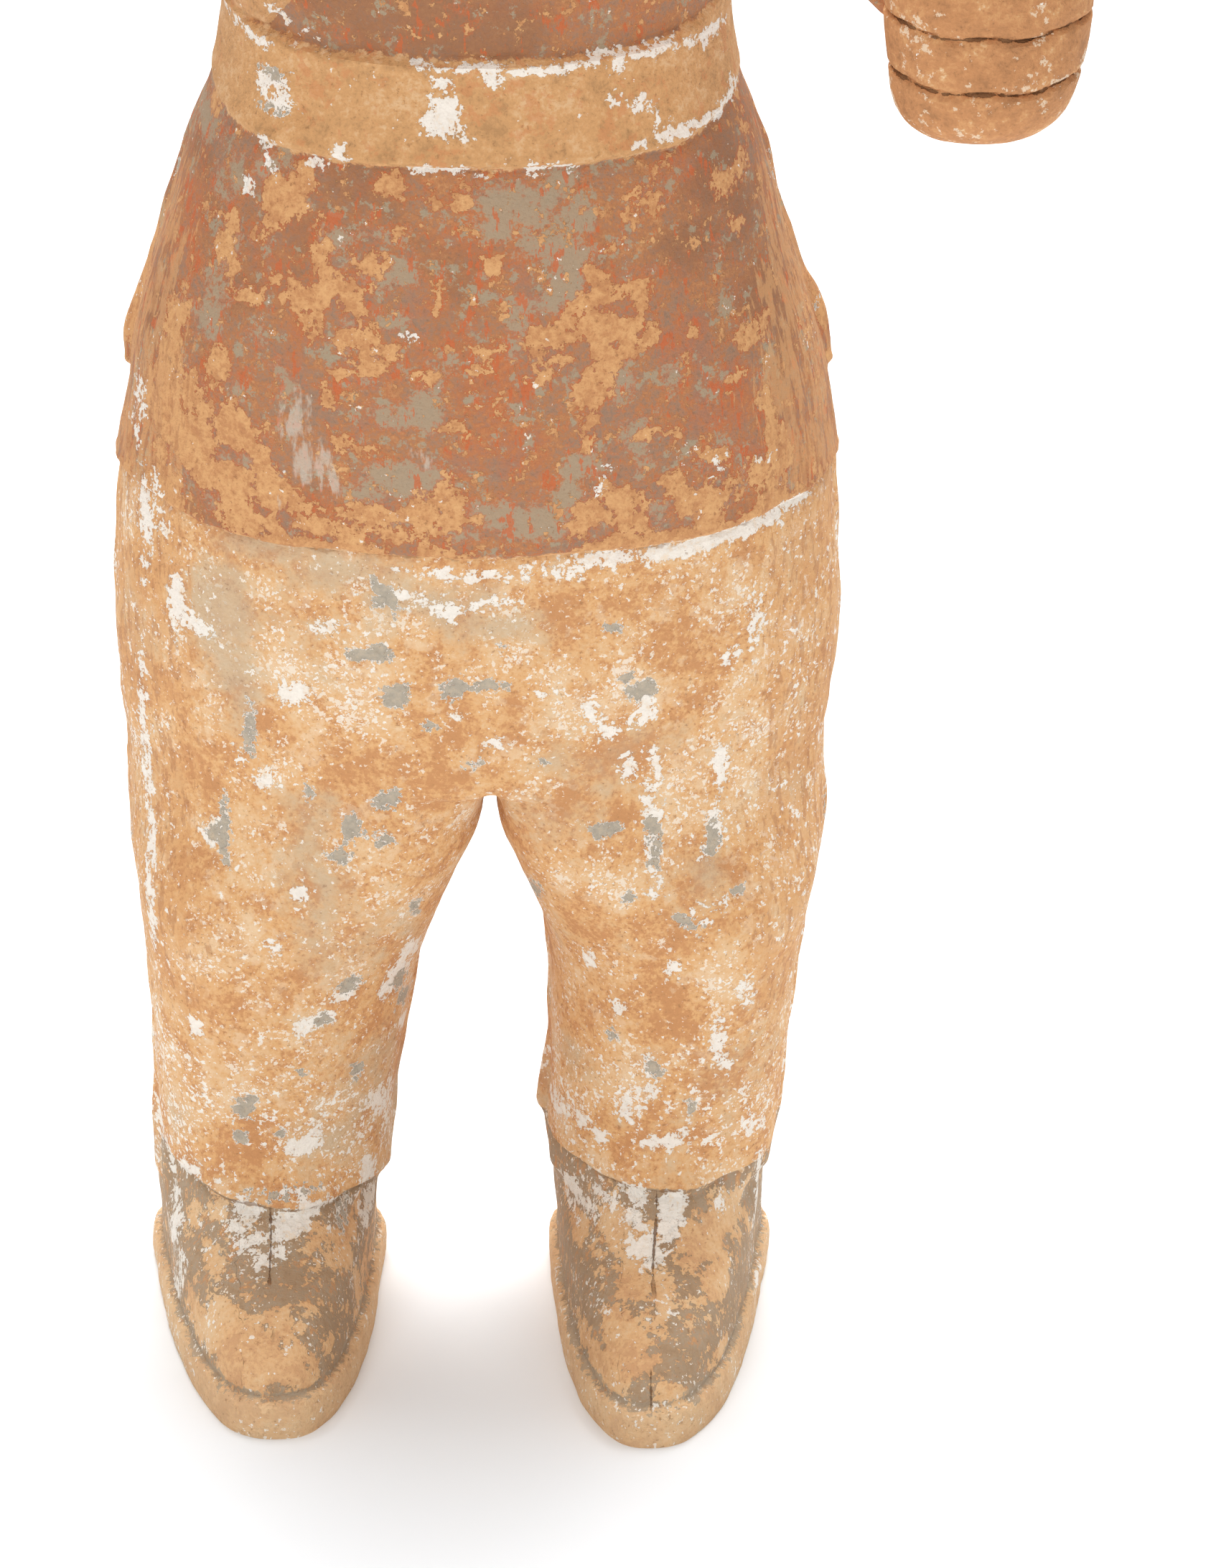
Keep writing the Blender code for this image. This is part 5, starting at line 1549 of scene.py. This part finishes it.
class MakeWarrior(Operator):
    """Models the figure in one closed skin, carves it and paints it"""

    bl_idname = "pottery.make_warrior"
    bl_label = "Warrior"

    def execute(self, context):
        form = bmesh.new()
        for shape in (add_trunk, add_legs, add_back_hems, add_boots, add_arms, add_head, add_knot):
            shape(form)
        bmesh.ops.recalc_face_normals(form, faces=form.faces)
        figure = one_skin("pottery_warrior_skin", form)
        carve(figure.data)
        figure.data.calc_loop_triangles()
        work_in(figure, "thin", "DECIMATE", ratio=TRIANGLES / len(figure.data.loop_triangles))
        cut_flat(figure)
        finishes = map_finishes(figure.data)
        stand_in_frame(figure.data)
        figure.data.materials.clear()
        figure.data.materials.append(worn_pottery(context.scene.warrior_colours, finishes))
        figure.data.shade_smooth()
        figure.data.set_sharp_from_angle(angle=math.radians(SHARP_ANGLE))
        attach(figure, "root")
        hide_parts("warrior_figure")
        return {"FINISHED"}


def soft_box(name, place, aim, width, power):
    """A square studio lamp that faces a point."""
    lamp = bpy.data.lights.new(name, "AREA")
    lamp.shape = "SQUARE"
    lamp.size = width
    lamp.energy = power
    made = new_object(name, lamp)
    made.location = place
    made.rotation_euler = (Vector(aim) - Vector(place)).to_track_quat("-Z", "Y").to_euler()


class MakeStage(Operator):
    """Sets up the pale floor, the soft lights and the camera"""

    bl_idname = "pottery.make_stage"
    bl_label = "Stage"

    def execute(self, context):
        bpy.ops.mesh.primitive_plane_add(size=FLOOR_WIDTH, location=(0, 0, 0))
        floor = context.active_object
        floor.name = "studio_floor"
        paper = bpy.data.materials.new("matt_paper")
        paper.use_nodes = True
        shader = paper.node_tree.nodes["Principled BSDF"]
        shader.inputs["Base Color"].default_value = PAPER
        shader.inputs["Roughness"].default_value = 0.95
        shader.inputs["Specular IOR Level"].default_value = 0.1
        floor.data.materials.append(paper)
        for lamp in LAMPS:
            soft_box(*lamp)
        world = bpy.data.worlds.new("studio")
        world.use_nodes = True
        world.node_tree.nodes["Background"].inputs["Color"].default_value = (1, 1, 1, 1)
        world.node_tree.nodes["Background"].inputs["Strength"].default_value = AMBIENT
        context.scene.world = world
        context.scene.view_settings.view_transform = "Standard"
        eye = bpy.data.cameras.new("camera")
        eye.lens = LENS
        eye.sensor_width = 36.0
        eye.clip_end = 50
        camera = new_object("camera", eye)
        camera.location = CAMERA_PLACE
        gaze = Vector(CAMERA_AIM) - Vector(CAMERA_PLACE)
        camera.rotation_euler = gaze.to_track_quat("-Z", "Y").to_euler()
        context.scene.camera = camera
        return {"FINISHED"}


class WarriorPanel(Panel):
    """Sizes, colours and steps of the pottery warrior"""

    bl_idname = "VIEW3D_PT_pottery_warrior"
    bl_label = "Pottery warrior"
    bl_space_type = "VIEW_3D"
    bl_region_type = "UI"
    bl_category = "Pottery"

    def draw(self, context):
        for group in (context.scene.warrior_sizes, context.scene.warrior_colours):
            column = self.layout.column()
            for name in group.__annotations__:
                column.prop(group, name)
        for step in STEPS:
            self.layout.operator(step.bl_idname)


STEPS = (MakeWarrior, MakeStage)
CLASSES = (WarriorSizes, WarriorColours, *STEPS, WarriorPanel)


def register():
    """Makes the sizes, colours, steps and panel known to Blender."""
    for made in CLASSES:
        bpy.utils.register_class(made)
    bpy.types.Scene.warrior_sizes = PointerProperty(type=WarriorSizes)
    bpy.types.Scene.warrior_colours = PointerProperty(type=WarriorColours)


def unregister():
    """Takes them out again."""
    del bpy.types.Scene.warrior_colours
    del bpy.types.Scene.warrior_sizes
    for made in reversed(CLASSES):
        bpy.utils.unregister_class(made)


def main():
    """Runs the steps in order."""
    register()
    bpy.ops.pottery.make_stage()
    bpy.ops.pottery.make_warrior()


if __name__ == "__main__":
    main()
